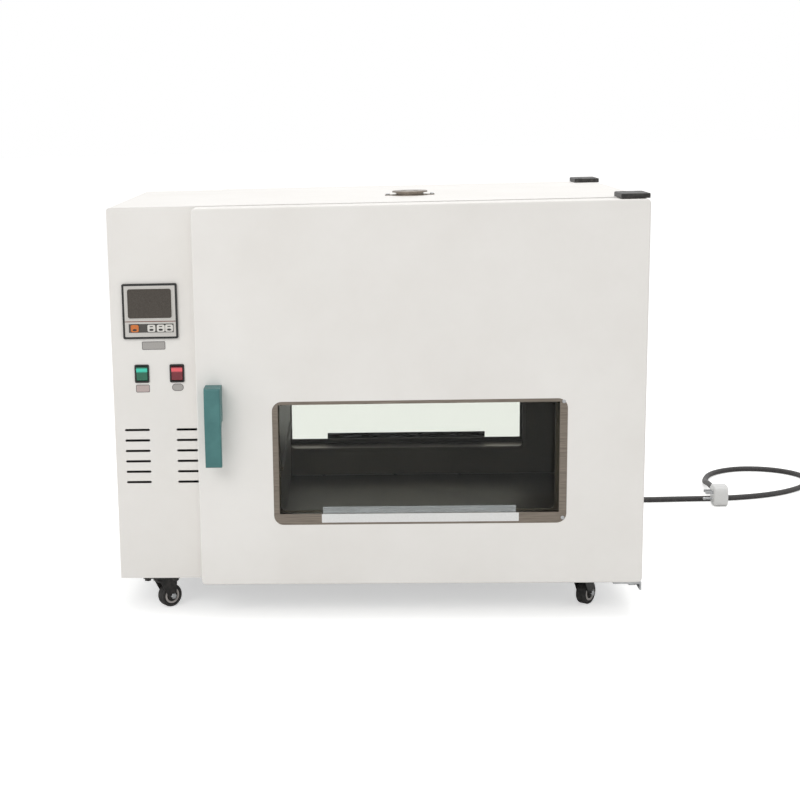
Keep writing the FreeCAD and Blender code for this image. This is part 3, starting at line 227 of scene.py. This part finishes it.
def satin_stainless():
    m, make, link, shader = new_finish("satin_stainless", 0.33, metal=1.0)
    grain = speckle(make, link, 30.0, detail=5.0, stretch=(1, 40, 40))
    link(ramp(make, link, grain, [(0.3, (0.17, 0.145, 0.12)), (0.7, (0.30, 0.26, 0.22))]),
         shader.inputs["Base Color"])
    wear(make, link, shader, 0.26, 0.42, grain)
    relief(make, link, shader, grain, 0.00005)
    return m


stainless = satin_stainless()
dress(stainless, "front_window_trim", "rear_window_trim", "vent_collar", "vent_cap")

# Window panes: two panes of 4 mm toughened glass in each door, clear with a faint
# warm cast, cut edges showing blue green.


def window_glass():
    m, make, link, shader = new_finish("window_glass", 0.03)
    clear = make("ShaderNodeBsdfTransparent")
    clear.inputs["Color"].default_value = (0.955, 0.96, 0.95, 1.0)
    sheen = make("ShaderNodeBsdfGlossy")
    dust = speckle(make, link, 9.0, detail=6.0)
    spread = make("ShaderNodeMapRange")
    spread.inputs["To Min"].default_value = 0.02
    spread.inputs["To Max"].default_value = 0.08
    link(dust, spread.inputs["Value"])
    link(spread.outputs["Result"], sheen.inputs["Roughness"])
    edge_on = make("ShaderNodeFresnel", IOR=1.2)
    blend = make("ShaderNodeMixShader")
    link(edge_on.outputs["Fac"], blend.inputs[0])
    link(clear.outputs["BSDF"], blend.inputs[1])
    link(sheen.outputs["BSDF"], blend.inputs[2])
    link(blend.outputs["Shader"], m.node_tree.nodes["Material Output"].inputs["Surface"])
    m.node_tree.nodes.remove(shader)
    return m


glass = window_glass()
dress(glass, "front_outer_glass", "front_inner_glass", "rear_outer_glass",
      "rear_inner_glass")

# Door seals: round-edged silicone strip, brick red, pressed into the sheets.


def silicone():
    m, make, link, shader = new_finish("silicone_red", 0.55)
    skin = speckle(make, link, 220.0)
    link(ramp(make, link, skin, [(0.3, (0.34, 0.085, 0.055)), (0.7, (0.42, 0.12, 0.08))]),
         shader.inputs["Base Color"])
    relief(make, link, shader, skin, 0.0001)
    return m


dress(silicone(), "front_seal", "rear_seal")

# Door levers: moulded nylon in a dull teal with a spark-eroded grain.


def teal_nylon():
    m, make, link, shader = new_finish("teal_nylon", 0.5)
    grain = speckle(make, link, 700.0, detail=4.0)
    tone = speckle(make, link, 40.0)
    link(ramp(make, link, tone, [(0.3, (0.045, 0.155, 0.155)), (0.7, (0.065, 0.20, 0.195))]),
         shader.inputs["Base Color"])
    wear(make, link, shader, 0.42, 0.6, tone)
    relief(make, link, shader, grain, 0.00018)
    return m


dress(teal_nylon(), "front_lever", "rear_lever")

# Castor irons: steel with thin black paint, rubbed at the edges. The upper hinge blocks get
# the same near-black colour.


def black_iron():
    m, make, link, shader = new_finish("black_iron", 0.45, metal=0.2)
    rub = speckle(make, link, 120.0, detail=6.0)
    link(ramp(make, link, rub, [(0.45, (0.018, 0.017, 0.016)), (0.8, (0.07, 0.065, 0.06))]),
         shader.inputs["Base Color"])
    wear(make, link, shader, 0.35, 0.6, rub)
    relief(make, link, shader, rub, 0.0001)
    return m


iron = black_iron()
dress(iron, "front_upper_hinge", "rear_upper_hinge", "front_left_castor_plate",
      "front_right_castor_plate", "front_left_fork", "front_right_fork",
      "rear_left_fork", "rear_right_fork")

# Castor wheels: black rubber tyres moulded on a hard core.


def castor_rubber():
    m, make, link, shader = new_finish("castor_rubber", 0.7)
    scuff = speckle(make, link, 180.0, detail=5.0)
    link(ramp(make, link, scuff, [(0.4, (0.012, 0.011, 0.011)), (0.8, (0.05, 0.046, 0.042))]),
         shader.inputs["Base Color"])
    relief(make, link, shader, scuff, 0.0002)
    return m


dress(castor_rubber(), "front_left_wheel", "front_right_wheel", "rear_left_wheel",
      "rear_right_wheel")

# Temperature controller: black moulded body with one orange and three white press keys.


def moulded(name, dark, light, rough):
    m, make, link, shader = new_finish(name, rough)
    grain = speckle(make, link, 900.0, detail=3.0)
    link(ramp(make, link, grain, [(0.35, dark), (0.65, light)]), shader.inputs["Base Color"])
    relief(make, link, shader, grain, 0.00005)
    return m


black_nylon = moulded("black_nylon", (0.008, 0.008, 0.008), (0.018, 0.018, 0.017), 0.4)
dress(black_nylon, "controller")
orange_key = moulded("key_orange", (0.58, 0.15, 0.03), (0.68, 0.21, 0.05), 0.45)
dress(orange_key, "key_set")
white_key = moulded("key_white", (0.66, 0.64, 0.60), (0.76, 0.74, 0.70), 0.45)
dress(white_key, "key_shift", "key_down", "key_up")


def rounded(x0, z0, x1, z1, radius, steps=6):
    """Outline of a rectangle with quarter circles at its corners, as rows of (u, v)."""
    quarter = np.linspace(0, np.pi / 2, steps)
    rows = []
    for k, (u, v) in enumerate(((x1 - radius, z1 - radius), (x0 + radius, z1 - radius),
                                (x0 + radius, z0 + radius), (x1 - radius, z0 + radius))):
        turn = quarter + k * np.pi / 2
        rows.append(np.stack([u + radius * np.cos(turn), v + radius * np.sin(turn)], 1))
    return np.concatenate(rows)


def oval(x, z, across, high, steps=32):
    """Outline of an ellipse round x, z."""
    turn = np.linspace(0, 2 * np.pi, steps, endpoint=False)
    return np.stack([x + across / 2 * np.cos(turn), z + high / 2 * np.sin(turn)], 1)


def placed(outline, y):
    """The outline's points in a plane of constant y."""
    return np.stack([outline[:, 0], np.full(len(outline), y), outline[:, 1]], 1)


def slab(outline, front, back):
    """A plate with the outline, between two depths: (points, faces)."""
    n = len(outline)
    k = np.arange(n)
    after = (k + 1) % n
    sides = np.stack([k, after, after + n, k + n], 1).tolist()
    points = np.concatenate([placed(outline, front), placed(outline, back)])
    return points, sides + [k.tolist(), (k[::-1] + n).tolist()]


def frame_slab(outer, inner, front, back):
    """A plate with an opening, both outlines having the same number of points."""
    n = len(outer)
    k = np.arange(n)
    after = (k + 1) % n
    points = np.concatenate([placed(outer, front), placed(inner, front),
                             placed(inner, back), placed(outer, back)])
    faces = []
    for a, b in ((0, 1), (1, 2), (2, 3), (3, 0)):
        faces += np.stack([k + a * n, after + a * n, after + b * n, k + b * n], 1).tolist()
    return points, faces


def turned(profile, centre, way, steps=40):
    """A closed profile of (radius, distance) turned about the line through centre along way."""
    radius, along = np.array(profile, float).T
    way = np.array(way, float) / np.linalg.norm(way)
    side = np.cross(way, (0.0, 0.0, 1.0) if abs(way[2]) < 0.9 else (1.0, 0.0, 0.0))
    side /= np.linalg.norm(side)
    other = np.cross(way, side)
    turn = np.linspace(0, 2 * np.pi, steps, endpoint=False)
    spoke = np.cos(turn)[:, None] * side + np.sin(turn)[:, None] * other
    points = (np.array(centre) + along[None, :, None] * way
              + radius[None, :, None] * spoke[:, None, :]).reshape(-1, 3)
    rows = len(radius)
    a, b = np.meshgrid(np.arange(steps), np.arange(rows), indexing="ij")
    near, far = a * rows, (a + 1) % steps * rows
    right = (b + 1) % rows
    faces = np.stack([near + b, near + right, far + right, far + b], 2)
    return points, faces.reshape(-1, 4).tolist()


def piece(name, shapes, finish, body, bevel=0.0, smooth=False):
    """One object from several (points, faces) shapes, faces outward, riding on a body."""
    points, faces, count = [], [], 0
    for some_points, some_faces in shapes:
        points.append(some_points)
        faces += [[corner + count for corner in face] for face in some_faces]
        count += len(some_points)
    mesh = bpy.data.meshes.new(name)
    mesh.from_pydata(np.concatenate(points).tolist(), [], faces)
    tidy = bmesh.new()
    tidy.from_mesh(mesh)
    bmesh.ops.remove_doubles(tidy, verts=tidy.verts, dist=1e-7)
    bmesh.ops.recalc_face_normals(tidy, faces=tidy.faces)
    tidy.to_mesh(mesh)
    tidy.free()
    if smooth:
        mesh.shade_smooth()
    mesh.materials.append(finish)
    obj = bpy.data.objects.new(name, mesh)
    bpy.context.scene.collection.objects.link(obj)
    if bevel:
        round_off = obj.modifiers.new("edges", "BEVEL")
        round_off.width = bevel
        round_off.segments = 2
        round_off.limit_method = "ANGLE"
    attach(obj, body)
    return obj


# The controller's front: a silver sheet, a dark display behind clear plastic with a
# bright edge, one brown line, and a cap on each key with its dark oval.
dial_low, dial_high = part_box("controller")
dial_front = dial_low.y
rim = 0.0036
sheet_front = dial_front + 0.00025
sheet_back = dial_front + 0.0006
display_box = (dial_low.x + 0.0095, dial_high.z - 0.0600, dial_low.x + 0.0860,
               dial_high.z - 0.0090)
strip_box = (dial_low.x + 0.0102, dial_low.z + 0.0110, dial_high.x - 0.0075,
             dial_low.z + 0.0262)
silver_sheet = moulded("silver_sheet", (0.56, 0.54, 0.51), (0.64, 0.62, 0.59), 0.38)
strip_grey = moulded("strip_grey", (0.055, 0.050, 0.045), (0.085, 0.078, 0.070), 0.45)
line_brown = moulded("line_brown", (0.15, 0.045, 0.03), (0.21, 0.065, 0.045), 0.5)
display_dark = moulded("display_dark", (0.055, 0.046, 0.038), (0.080, 0.068, 0.056), 0.12)
mark_dark = moulded("mark_dark", (0.020, 0.018, 0.018), (0.035, 0.032, 0.030), 0.5)

piece("dial_sheet", [frame_slab(
    rounded(dial_low.x + rim, dial_low.z + rim, dial_high.x - rim, dial_high.z - rim, 0.001),
    rounded(*strip_box, 0.001), sheet_front, sheet_back)], silver_sheet, "cabinet")
piece("display_rim", [frame_slab(
    rounded(display_box[0] - 0.0012, display_box[1] - 0.0012, display_box[2] + 0.0012,
            display_box[3] + 0.0012, 0.0052), rounded(*display_box, 0.004),
    dial_front - 0.0006, sheet_front)], silver_sheet, "cabinet", bevel=0.0002)
piece("display", [slab(rounded(*display_box, 0.004), dial_front - 0.0002, sheet_front)],
      display_dark, "cabinet", bevel=0.0001)
piece("dial_line", [slab(rounded(
    dial_low.x + rim + 0.0002, dial_high.z - 0.0664, dial_high.x - rim - 0.0002,
    dial_high.z - 0.0650, 0.0003), sheet_front - 0.0001, sheet_front)], line_brown, "cabinet")
keys = ["key_set", "key_shift", "key_down", "key_up"]
gaps = [strip_box[0]]
for name in keys:
    gaps += [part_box(name)[0].x - 0.0004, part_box(name)[1].x + 0.0004]
gaps.append(strip_box[2])
piece("key_strip", [slab(rounded(a, strip_box[1], b, strip_box[3], 0.0001), sheet_front,
                         sheet_back) for a, b in zip(gaps[0::2], gaps[1::2])],
      strip_grey, "cabinet")
cap_width, cap_height = 0.0138, 0.0128
for name in keys:
    low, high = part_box(name)
    x, z = (low.x + high.x) / 2, (low.z + high.z) / 2
    cap_front, cap_back = low.y - 0.0005, low.y + 0.0001
    mark_front, mark_back = low.y - 0.0006, low.y - 0.0004
    piece(name + "_cap", [slab(rounded(
        x - cap_width / 2, z - cap_height / 2, x + cap_width / 2, z + cap_height / 2, 0.0028),
        cap_front, cap_back)], orange_key if name == "key_set" else white_key,
        name, bevel=0.0002)
    marks = [slab(oval(x, z - 0.0026, 0.0076, 0.0038), mark_front, mark_back)]
    if name != "key_set":
        marks.append(slab(rounded(x - 0.0028, z + 0.0022, x + 0.0028, z + 0.0038, 0.0006),
                          mark_front, mark_back))
    piece(name + "_mark", marks, mark_dark, name)

# Three bare plates on the control panel: printed foil, 0.4 mm thick, stuck on.
case_low, case_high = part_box("outer_case")
panel_left, panel_foot, panel_front = case_low.x, case_low.z, case_low.y
foil_grey = moulded("foil_grey", (0.36, 0.345, 0.33), (0.44, 0.42, 0.40), 0.5)
foil_pink = moulded("foil_pink", (0.46, 0.375, 0.36), (0.54, 0.445, 0.43), 0.5)
foil_edge = moulded("foil_edge", (0.085, 0.080, 0.078), (0.12, 0.11, 0.11), 0.5)


def plate(name, x0, z0, x1, z1, radius, finish):
    """A stuck-on plate with a darker border, sizes in metres from the case's lower left."""
    a, b, c, d = panel_left + x0, panel_foot + z0, panel_left + x1, panel_foot + z1
    border, foil, edging = 0.0009, 0.00035, 0.00045
    outer = rounded(a, b, c, d, radius)
    inner = rounded(a + border, b + border, c - border, d - border, radius - border)
    piece(name, [slab(inner, panel_front - foil, panel_front)], finish, "cabinet")
    piece(name + "_edge", [frame_slab(outer, inner, panel_front - edging, panel_front)],
          foil_edge, "cabinet")


plate("upper_plate", 0.0537, 0.4137, 0.0944, 0.4279, 0.002, foil_grey)
plate("green_plate", 0.0404, 0.3384, 0.0645, 0.3519, 0.002, foil_pink)
plate("red_plate", 0.1038, 0.3402, 0.1241, 0.3528, 0.0062, foil_grey)

# Clear protective film left on the lower edge of each window, white where it lies on the
# metal border. Above it, a milky translucent sheet on the glass is a painted reflection of
# the film in the pane. Screws hold the border at its right end.
film_white = moulded("film_white", (0.70, 0.70, 0.69), (0.82, 0.82, 0.81), 0.25)


# A milky, partly clear sheet laid on the glass: a painted reflection of the white film below it.
def painted_reflection_finish():
    m, make, link, shader = new_finish("film_reflection_painted", 0.3, colour=(0.62, 0.66, 0.66))
    clear = make("ShaderNodeBsdfTransparent")
    blend = make("ShaderNodeMixShader")
    streaks = speckle(make, link, 24.0, stretch=(1, 1, 12))
    thin = make("ShaderNodeMapRange")
    thin.inputs["To Min"].default_value = 0.22
    thin.inputs["To Max"].default_value = 0.42
    link(streaks, thin.inputs["Value"])
    link(thin.outputs["Result"], blend.inputs[0])
    link(clear.outputs["BSDF"], blend.inputs[1])
    link(shader.outputs["BSDF"], blend.inputs[2])
    link(blend.outputs["Shader"], m.node_tree.nodes["Material Output"].inputs["Surface"])
    return m


def screw_head(place, way, radius):
    """A pan head: flat underside, domed top, with a shallow round recess."""
    profile = [(0.0, 0.0), (radius, 0.0), (radius, 0.25 * radius), (0.8 * radius, 0.55 * radius),
               (0.4 * radius, 0.65 * radius), (0.3 * radius, 0.35 * radius),
               (0.0, 0.35 * radius)]
    return turned(profile, place, way, steps=24)


bright_screw = cast_alloy()
bright_screw.name = "bright_screw"
ghost_sheet = painted_reflection_finish()
film_face, film_back = 0.0003, 0.00005
for side, out in (("front", -1.0), ("rear", 1.0)):
    trim_low, trim_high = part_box(side + "_window_trim")
    pane_low, pane_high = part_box(side + "_outer_glass")
    metal_face = trim_low.y if out < 0 else trim_high.y
    glass_face = pane_low.y if out < 0 else pane_high.y
    film_left, film_right = panel_left + 0.363, panel_left + 0.702
    film_foot, film_step, film_top = (panel_foot + h for h in (0.1125, 0.1278, 0.1405))
    piece(side + "_film_low", [slab(rounded(film_left, film_foot, film_right, film_step, 0.001),
                                    metal_face + out * film_face, metal_face + out * film_back)],
          film_white, side + "_door")
    # The film's reflection in the glass, painted as a milky sheet on the pane.
    piece(side + "_painted_film_ghost", [slab(rounded(
        film_left + 0.002, film_step + 0.0004, film_right - 0.005, film_top, 0.001),
        glass_face + out * film_face, glass_face + out * film_back)], ghost_sheet, side + "_door")
    piece(side + "_trim_screws", [screw_head(
        (panel_left + 0.7765, metal_face, panel_foot + h), (0, out, 0), 0.0034)
        for h in (0.118, 0.3215)], bright_screw, side + "_door", smooth=True)

# Rocker switches: black nylon frames and translucent coloured rockers with a lamp inside.
# Each rocker's upper band is a painted highlight: a brighter colour that also glows through
# the emission.


def acrylic_with_painted_highlight(name, deep, highlight_tone):
    m, make, link, shader = new_finish(name, 0.14)
    low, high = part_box("green_rocker")
    place = make("ShaderNodeTexCoord")
    split = make("ShaderNodeSeparateXYZ")
    height = make("ShaderNodeMapRange")
    height.inputs["From Min"].default_value = low.z
    height.inputs["From Max"].default_value = high.z
    link(place.outputs["Object"], split.inputs["Vector"])
    link(split.outputs["Z"], height.inputs["Value"])
    ribs = speckle(make, link, 500.0, stretch=(3, 1, 0.4))
    # Bright band across the rocker's upper part: a painted highlight, also fed to the emission.
    tint = ramp(make, link, height.outputs["Result"],
                [(0.0, deep), (0.58, deep), (0.70, highlight_tone), (0.88, highlight_tone), (0.96, deep)])
    link(tint, shader.inputs["Base Color"])
    link(tint, shader.inputs["Emission Color"])
    shader.inputs["Emission Strength"].default_value = 0.25
    shader.inputs["Coat Weight"].default_value = 0.5
    relief(make, link, shader, ribs, 0.0001)
    return m


dress(black_nylon, "green_switch_frame", "red_switch_frame", "cord_gland")
dress(acrylic_with_painted_highlight("rocker_green", (0.004, 0.10, 0.055), (0.03, 0.50, 0.36)), "green_rocker")
dress(acrylic_with_painted_highlight("rocker_red", (0.14, 0.006, 0.014), (0.70, 0.09, 0.11)), "red_rocker")

# Castor details: pale grey rings on the wheels' dished faces, steel axle bolts, and
# nuts that hold the plates up to the base tray.
ring_grey = moulded("ring_grey", (0.42, 0.39, 0.37), (0.54, 0.50, 0.48), 0.4)
steel_bolt = cast_alloy()
steel_bolt.name = "steel_bolt"
dark_nut = black_iron()
dark_nut.name = "dark_nut"
castors = [("front_left", 38.0), ("front_right", 52.0), ("rear_left", 90.0),
           ("rear_right", 90.0)]
for name, turn in castors:
    low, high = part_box(name + "_wheel")
    centre = (low + high) / 2
    way = np.array([math.sin(math.radians(turn)), -math.cos(math.radians(turn)), 0.0])
    rings, bolts = [], []
    for side in (1.0, -1.0):
        rings.append(turned([(0.0108, 0.0070), (0.0144, 0.0070), (0.0144, 0.0086),
                             (0.0134, 0.0094), (0.0116, 0.0094), (0.0108, 0.0086)],
                            centre, way * side, steps=48))
        bolts.append(turned([(0.0, 0.0123), (0.0056, 0.0123), (0.0056, 0.0146),
                             (0.0048, 0.0153), (0.0, 0.0153)], centre, way * side, steps=6))
    piece(name + "_rings", rings, ring_grey, name + "_wheel", smooth=True)
    carrier = name + "_fork" if name.startswith("front") else "cabinet"
    piece(name + "_bolts", bolts, steel_bolt, carrier)
    plate_node = name + ("_castor_plate" if name.startswith("front") else "_fork")
    low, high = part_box(plate_node)
    middle = (low + high) / 2
    plate_thick = 0.0025
    under = high.z - plate_thick
    nuts = [turned([(0.0, 0.0), (0.0062, 0.0), (0.0062, 0.0046), (0.0054, 0.0052),
                    (0.0, 0.0052)], (middle.x + dx, middle.y + dy, under), (0, 0, -1), steps=6)
            for dx in (-0.025, 0.025) for dy in (-0.014, 0.014)]
    piece(name + "_nuts", nuts, dark_nut, "cabinet")

# Small screws: two in the vent's ears, one row in the chamber's floor and two in each
# upper hinge.
vent_low, vent_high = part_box("vent_collar")
vent_middle = (vent_low + vent_high) / 2
roof = case_high.z
piece("vent_screws", [screw_head((vent_middle.x + dx, vent_middle.y, roof + 0.0015),
                                 (0, 0, 1), 0.0036) for dx in (-0.040, 0.040)],
      bright_screw, "cabinet", smooth=True)
chamber_low, chamber_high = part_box("chamber")
liner = 0.0012
piece("floor_screws", [screw_head((panel_left + x, chamber_high.y - 0.006,
                                   chamber_low.z + liner), (0, 0, 1), 0.0034)
                       for x in (0.357, 0.506, 0.640)], dark_nut, "cabinet", smooth=True)
for side, out in (("front", -1.0), ("rear", 1.0)):
    low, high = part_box(side + "_upper_hinge")
    edge = case_low.y if out < 0 else case_high.y
    piece(side + "_hinge_screws", [screw_head((x, edge - out * 0.017, high.z - 0.003),
                                              (0, 0, 1), 0.0042)
                                   for x in (low.x + 0.012, high.x - 0.012)],
          steel_bolt, "cabinet", smooth=True)

# Mains lead: round black rubber flex from the gland down to the floor behind the oven,
# along the floor to the right, round one open loop and into its moulded white plug.


def lead_rubber():
    m, make, link, shader = new_finish("lead_rubber", 0.5)
    skin = speckle(make, link, 250.0, detail=4.0)
    link(ramp(make, link, skin, [(0.35, (0.030, 0.028, 0.028)), (0.7, (0.060, 0.056, 0.055))]),
         shader.inputs["Base Color"])
    wear(make, link, shader, 0.42, 0.6, skin)
    relief(make, link, shader, skin, 0.0001)
    return m


def lead_curve():
    """One NURBS line of order 3 through the tube's own control points, 12 mm thick."""
    x0, y0, z0 = 0.4575, 0.273, 0.062
    mouth, floor = 0.572, -0.056
    route = [(0.085, mouth, 0.066), (0.085, mouth + 0.052, 0.066), (0.090, mouth + 0.122, 0.026),
             (0.112, mouth + 0.178, -0.030), (0.166, mouth + 0.204, floor),
             (0.280, mouth + 0.214, floor), (0.430, mouth + 0.203, floor),
             (0.590, mouth + 0.198, floor), (0.750, mouth + 0.205, floor),
             (0.905, mouth + 0.201, floor), (1.050, mouth + 0.195, floor),
             (1.160, mouth + 0.201, floor), (1.275, mouth + 0.206, floor),
             (1.380, mouth + 0.246, floor), (1.458, mouth + 0.322, floor),
             (1.478, mouth + 0.412, floor), (1.425, mouth + 0.482, floor),
             (1.340, mouth + 0.500, floor), (1.264, mouth + 0.452, floor),
             (1.232, mouth + 0.366, floor), (1.224, mouth + 0.280, -0.039),
             (1.224, 0.774, -0.039)]
    data = bpy.data.curves.new("mains_lead", "CURVE")
    data.dimensions = "3D"
    line = data.splines.new("NURBS")
    line.points.add(len(route) - 1)
    for p, (x, y, z) in zip(line.points, route):
        p.co = (x - x0, y - y0, z + z0, 1.0)
    line.order_u = 3
    line.use_endpoint_u = True
    data.resolution_u = 24
    data.bevel_depth = 0.006
    data.bevel_resolution = 6
    data.use_fill_caps = True
    lead = bpy.data.objects.new("mains_lead", data)
    bpy.context.scene.collection.objects.link(lead)
    return lead, [(x - x0, y - y0, z + z0) for x, y, z in route]


flex = lead_rubber()
lead, lead_points = lead_curve()
lead.data.materials.append(flex)
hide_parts("power_cord")
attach(lead, "cabinet")

plug_white = moulded("plug_white", (0.72, 0.72, 0.71), (0.78, 0.78, 0.77), 0.28)
dress(plug_white, "power_plug")

# Ribbed rubber sleeves where the lead leaves the gland and enters the plug, and the
# plug's nickelled pins: two flat blades and a round earth pin with a swollen end.


def sleeve(name, start, length, thick, thin, finish):
    """A tapered sleeve along +Y round the lead, with a rib every 5 mm."""
    ribs = int(round(length / 0.005))
    profile = [(0.0061, 0.0)]
    for k in range(ribs):
        radius = thick + (thin - thick) * k / ribs
        a, b = length * k / ribs, length * (k + 0.62) / ribs
        profile += [(radius, a), (radius, b), (radius - 0.0011, b + 0.0002),
                    (radius - 0.0011, length * (k + 1) / ribs - 0.0002)]
    profile.append((0.0061, length))
    return piece(name, [turned(profile, start, (0, 1, 0), steps=32)], finish, "cabinet")


gland_sleeve = sleeve("gland_sleeve", lead_points[0], 0.040, 0.0094, 0.0076, black_nylon)
plug_sleeve = sleeve("plug_sleeve", lead_points[-1], 0.030, 0.0088, 0.0076, plug_white)
nickel = cast_alloy()
nickel.name = "nickel_pin"
plug_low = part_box("power_plug")[0]
pin_root = plug_low.x + 0.020
pin_z = plug_low.z + 0.023
pin_y = plug_low.y + 0.023
blade_top, blade_foot = pin_z + 0.0102, pin_z + 0.0038
blades = [slab(rounded(pin_root - 0.0171, blade_foot, pin_root, blade_top, 0.0012),
               pin_y + dy - 0.00115, pin_y + dy + 0.00115) for dy in (-0.009, 0.009)]
earth = turned([(0.0, 0.0), (0.0026, 0.0), (0.0026, 0.0135), (0.0032, 0.0150),
                (0.0032, 0.0185), (0.0020, 0.0202), (0.0, 0.0202)],
               (pin_root, pin_y, pin_z - 0.008), (-1, 0, 0), steps=24)
plug_pins = piece("plug_pins", blades + [earth], nickel, "cabinet")

# Floor, light and camera.
# A plain pale floor that keeps the oven's shadow; a wide soft sky with two large lamps.
floor_mesh = bpy.data.meshes.new("floor")
floor_mesh.from_pydata([(-30, -30, 0), (30, -30, 0), (30, 30, 0), (-30, 30, 0)], [],
                       [(0, 1, 2, 3)])
floor = bpy.data.objects.new("floor", floor_mesh)
bpy.context.scene.collection.objects.link(floor)
ground, make, link, shader = new_finish("pale_floor", 0.85, colour=(0.82, 0.82, 0.81))
glow = make("ShaderNodeEmission")
path = make("ShaderNodeLightPath")
lit = make("ShaderNodeMath", operation="MULTIPLY")
lit.inputs[1].default_value = 0.5
link(path.outputs["Is Camera Ray"], lit.inputs[0])
link(lit.outputs[0], glow.inputs["Strength"])
both = make("ShaderNodeAddShader")
link(shader.outputs["BSDF"], both.inputs[0])
link(glow.outputs["Emission"], both.inputs[1])
link(both.outputs["Shader"], ground.node_tree.nodes["Material Output"].inputs["Surface"])
floor_mesh.materials.append(ground)

world = bpy.data.worlds.new("studio")
bpy.context.scene.world = world
world.use_nodes = True
sky = world.node_tree
back = sky.nodes["Background"]
back.inputs["Color"].default_value = (1, 1, 1, 1)
rays = sky.nodes.new("ShaderNodeLightPath")
seen = sky.nodes.new("ShaderNodeMath")
seen.operation = "MAXIMUM"
seen_more = sky.nodes.new("ShaderNodeMath")
seen_more.operation = "MAXIMUM"
level = sky.nodes.new("ShaderNodeMapRange")
level.inputs["To Min"].default_value = 0.68
level.inputs["To Max"].default_value = 1.0
sky.links.new(rays.outputs["Is Camera Ray"], seen.inputs[0])
sky.links.new(rays.outputs["Is Glossy Ray"], seen.inputs[1])
sky.links.new(seen.outputs[0], seen_more.inputs[0])
sky.links.new(rays.outputs["Is Transmission Ray"], seen_more.inputs[1])
sky.links.new(seen_more.outputs[0], level.inputs["Value"])
sky.links.new(level.outputs["Result"], back.inputs["Strength"])


def soft_lamp(name, place, target, size, power):
    """A rectangular lamp of the given size in metres and power in watts, facing target."""
    lamp = bpy.data.lights.new(name, "AREA")
    lamp.shape = "RECTANGLE"
    lamp.size, lamp.size_y = size
    lamp.energy = power
    obj = bpy.data.objects.new(name, lamp)
    obj.location = place
    obj.rotation_mode = "QUATERNION"
    obj.rotation_quaternion = (Vector(target) - Vector(place)).to_track_quat("-Z", "Y")
    bpy.context.scene.collection.objects.link(obj)


soft_lamp("front_lamp", (-1.6, -3.4, 2.6), (0, 0, 0.35), (2.4, 1.8), 42)
soft_lamp("top_lamp", (0.6, 0.6, 3.4), (0, 0, 0.3), (3.0, 2.4), 40)

eye = bpy.data.objects.new("camera", bpy.data.cameras.new("camera"))
bpy.context.scene.collection.objects.link(eye)
bpy.context.scene.camera = eye
yaw, pitch, roll = (math.radians(a) for a in (-3.92, 11.41, -1.48))
ahead = Vector((math.sin(yaw) * math.cos(pitch), math.cos(yaw) * math.cos(pitch),
                -math.sin(pitch)))
level_right = Vector((math.cos(yaw), -math.sin(yaw), 0))
level_up = level_right.cross(ahead)
right = math.cos(roll) * level_right + math.sin(roll) * level_up
up = math.cos(roll) * level_up - math.sin(roll) * level_right
turn = Matrix((right, up, -ahead)).transposed()
eye.matrix_world = Matrix.Translation((-0.0405, -3.007, 0.882)) @ turn.to_4x4()
eye.data.sensor_width = 36
eye.data.lens = 71.69
eye.data.shift_x = 0.19375
eye.data.shift_y = 0.03875
eye.data.clip_end = 200
bpy.context.scene.view_settings.view_transform = "Standard"
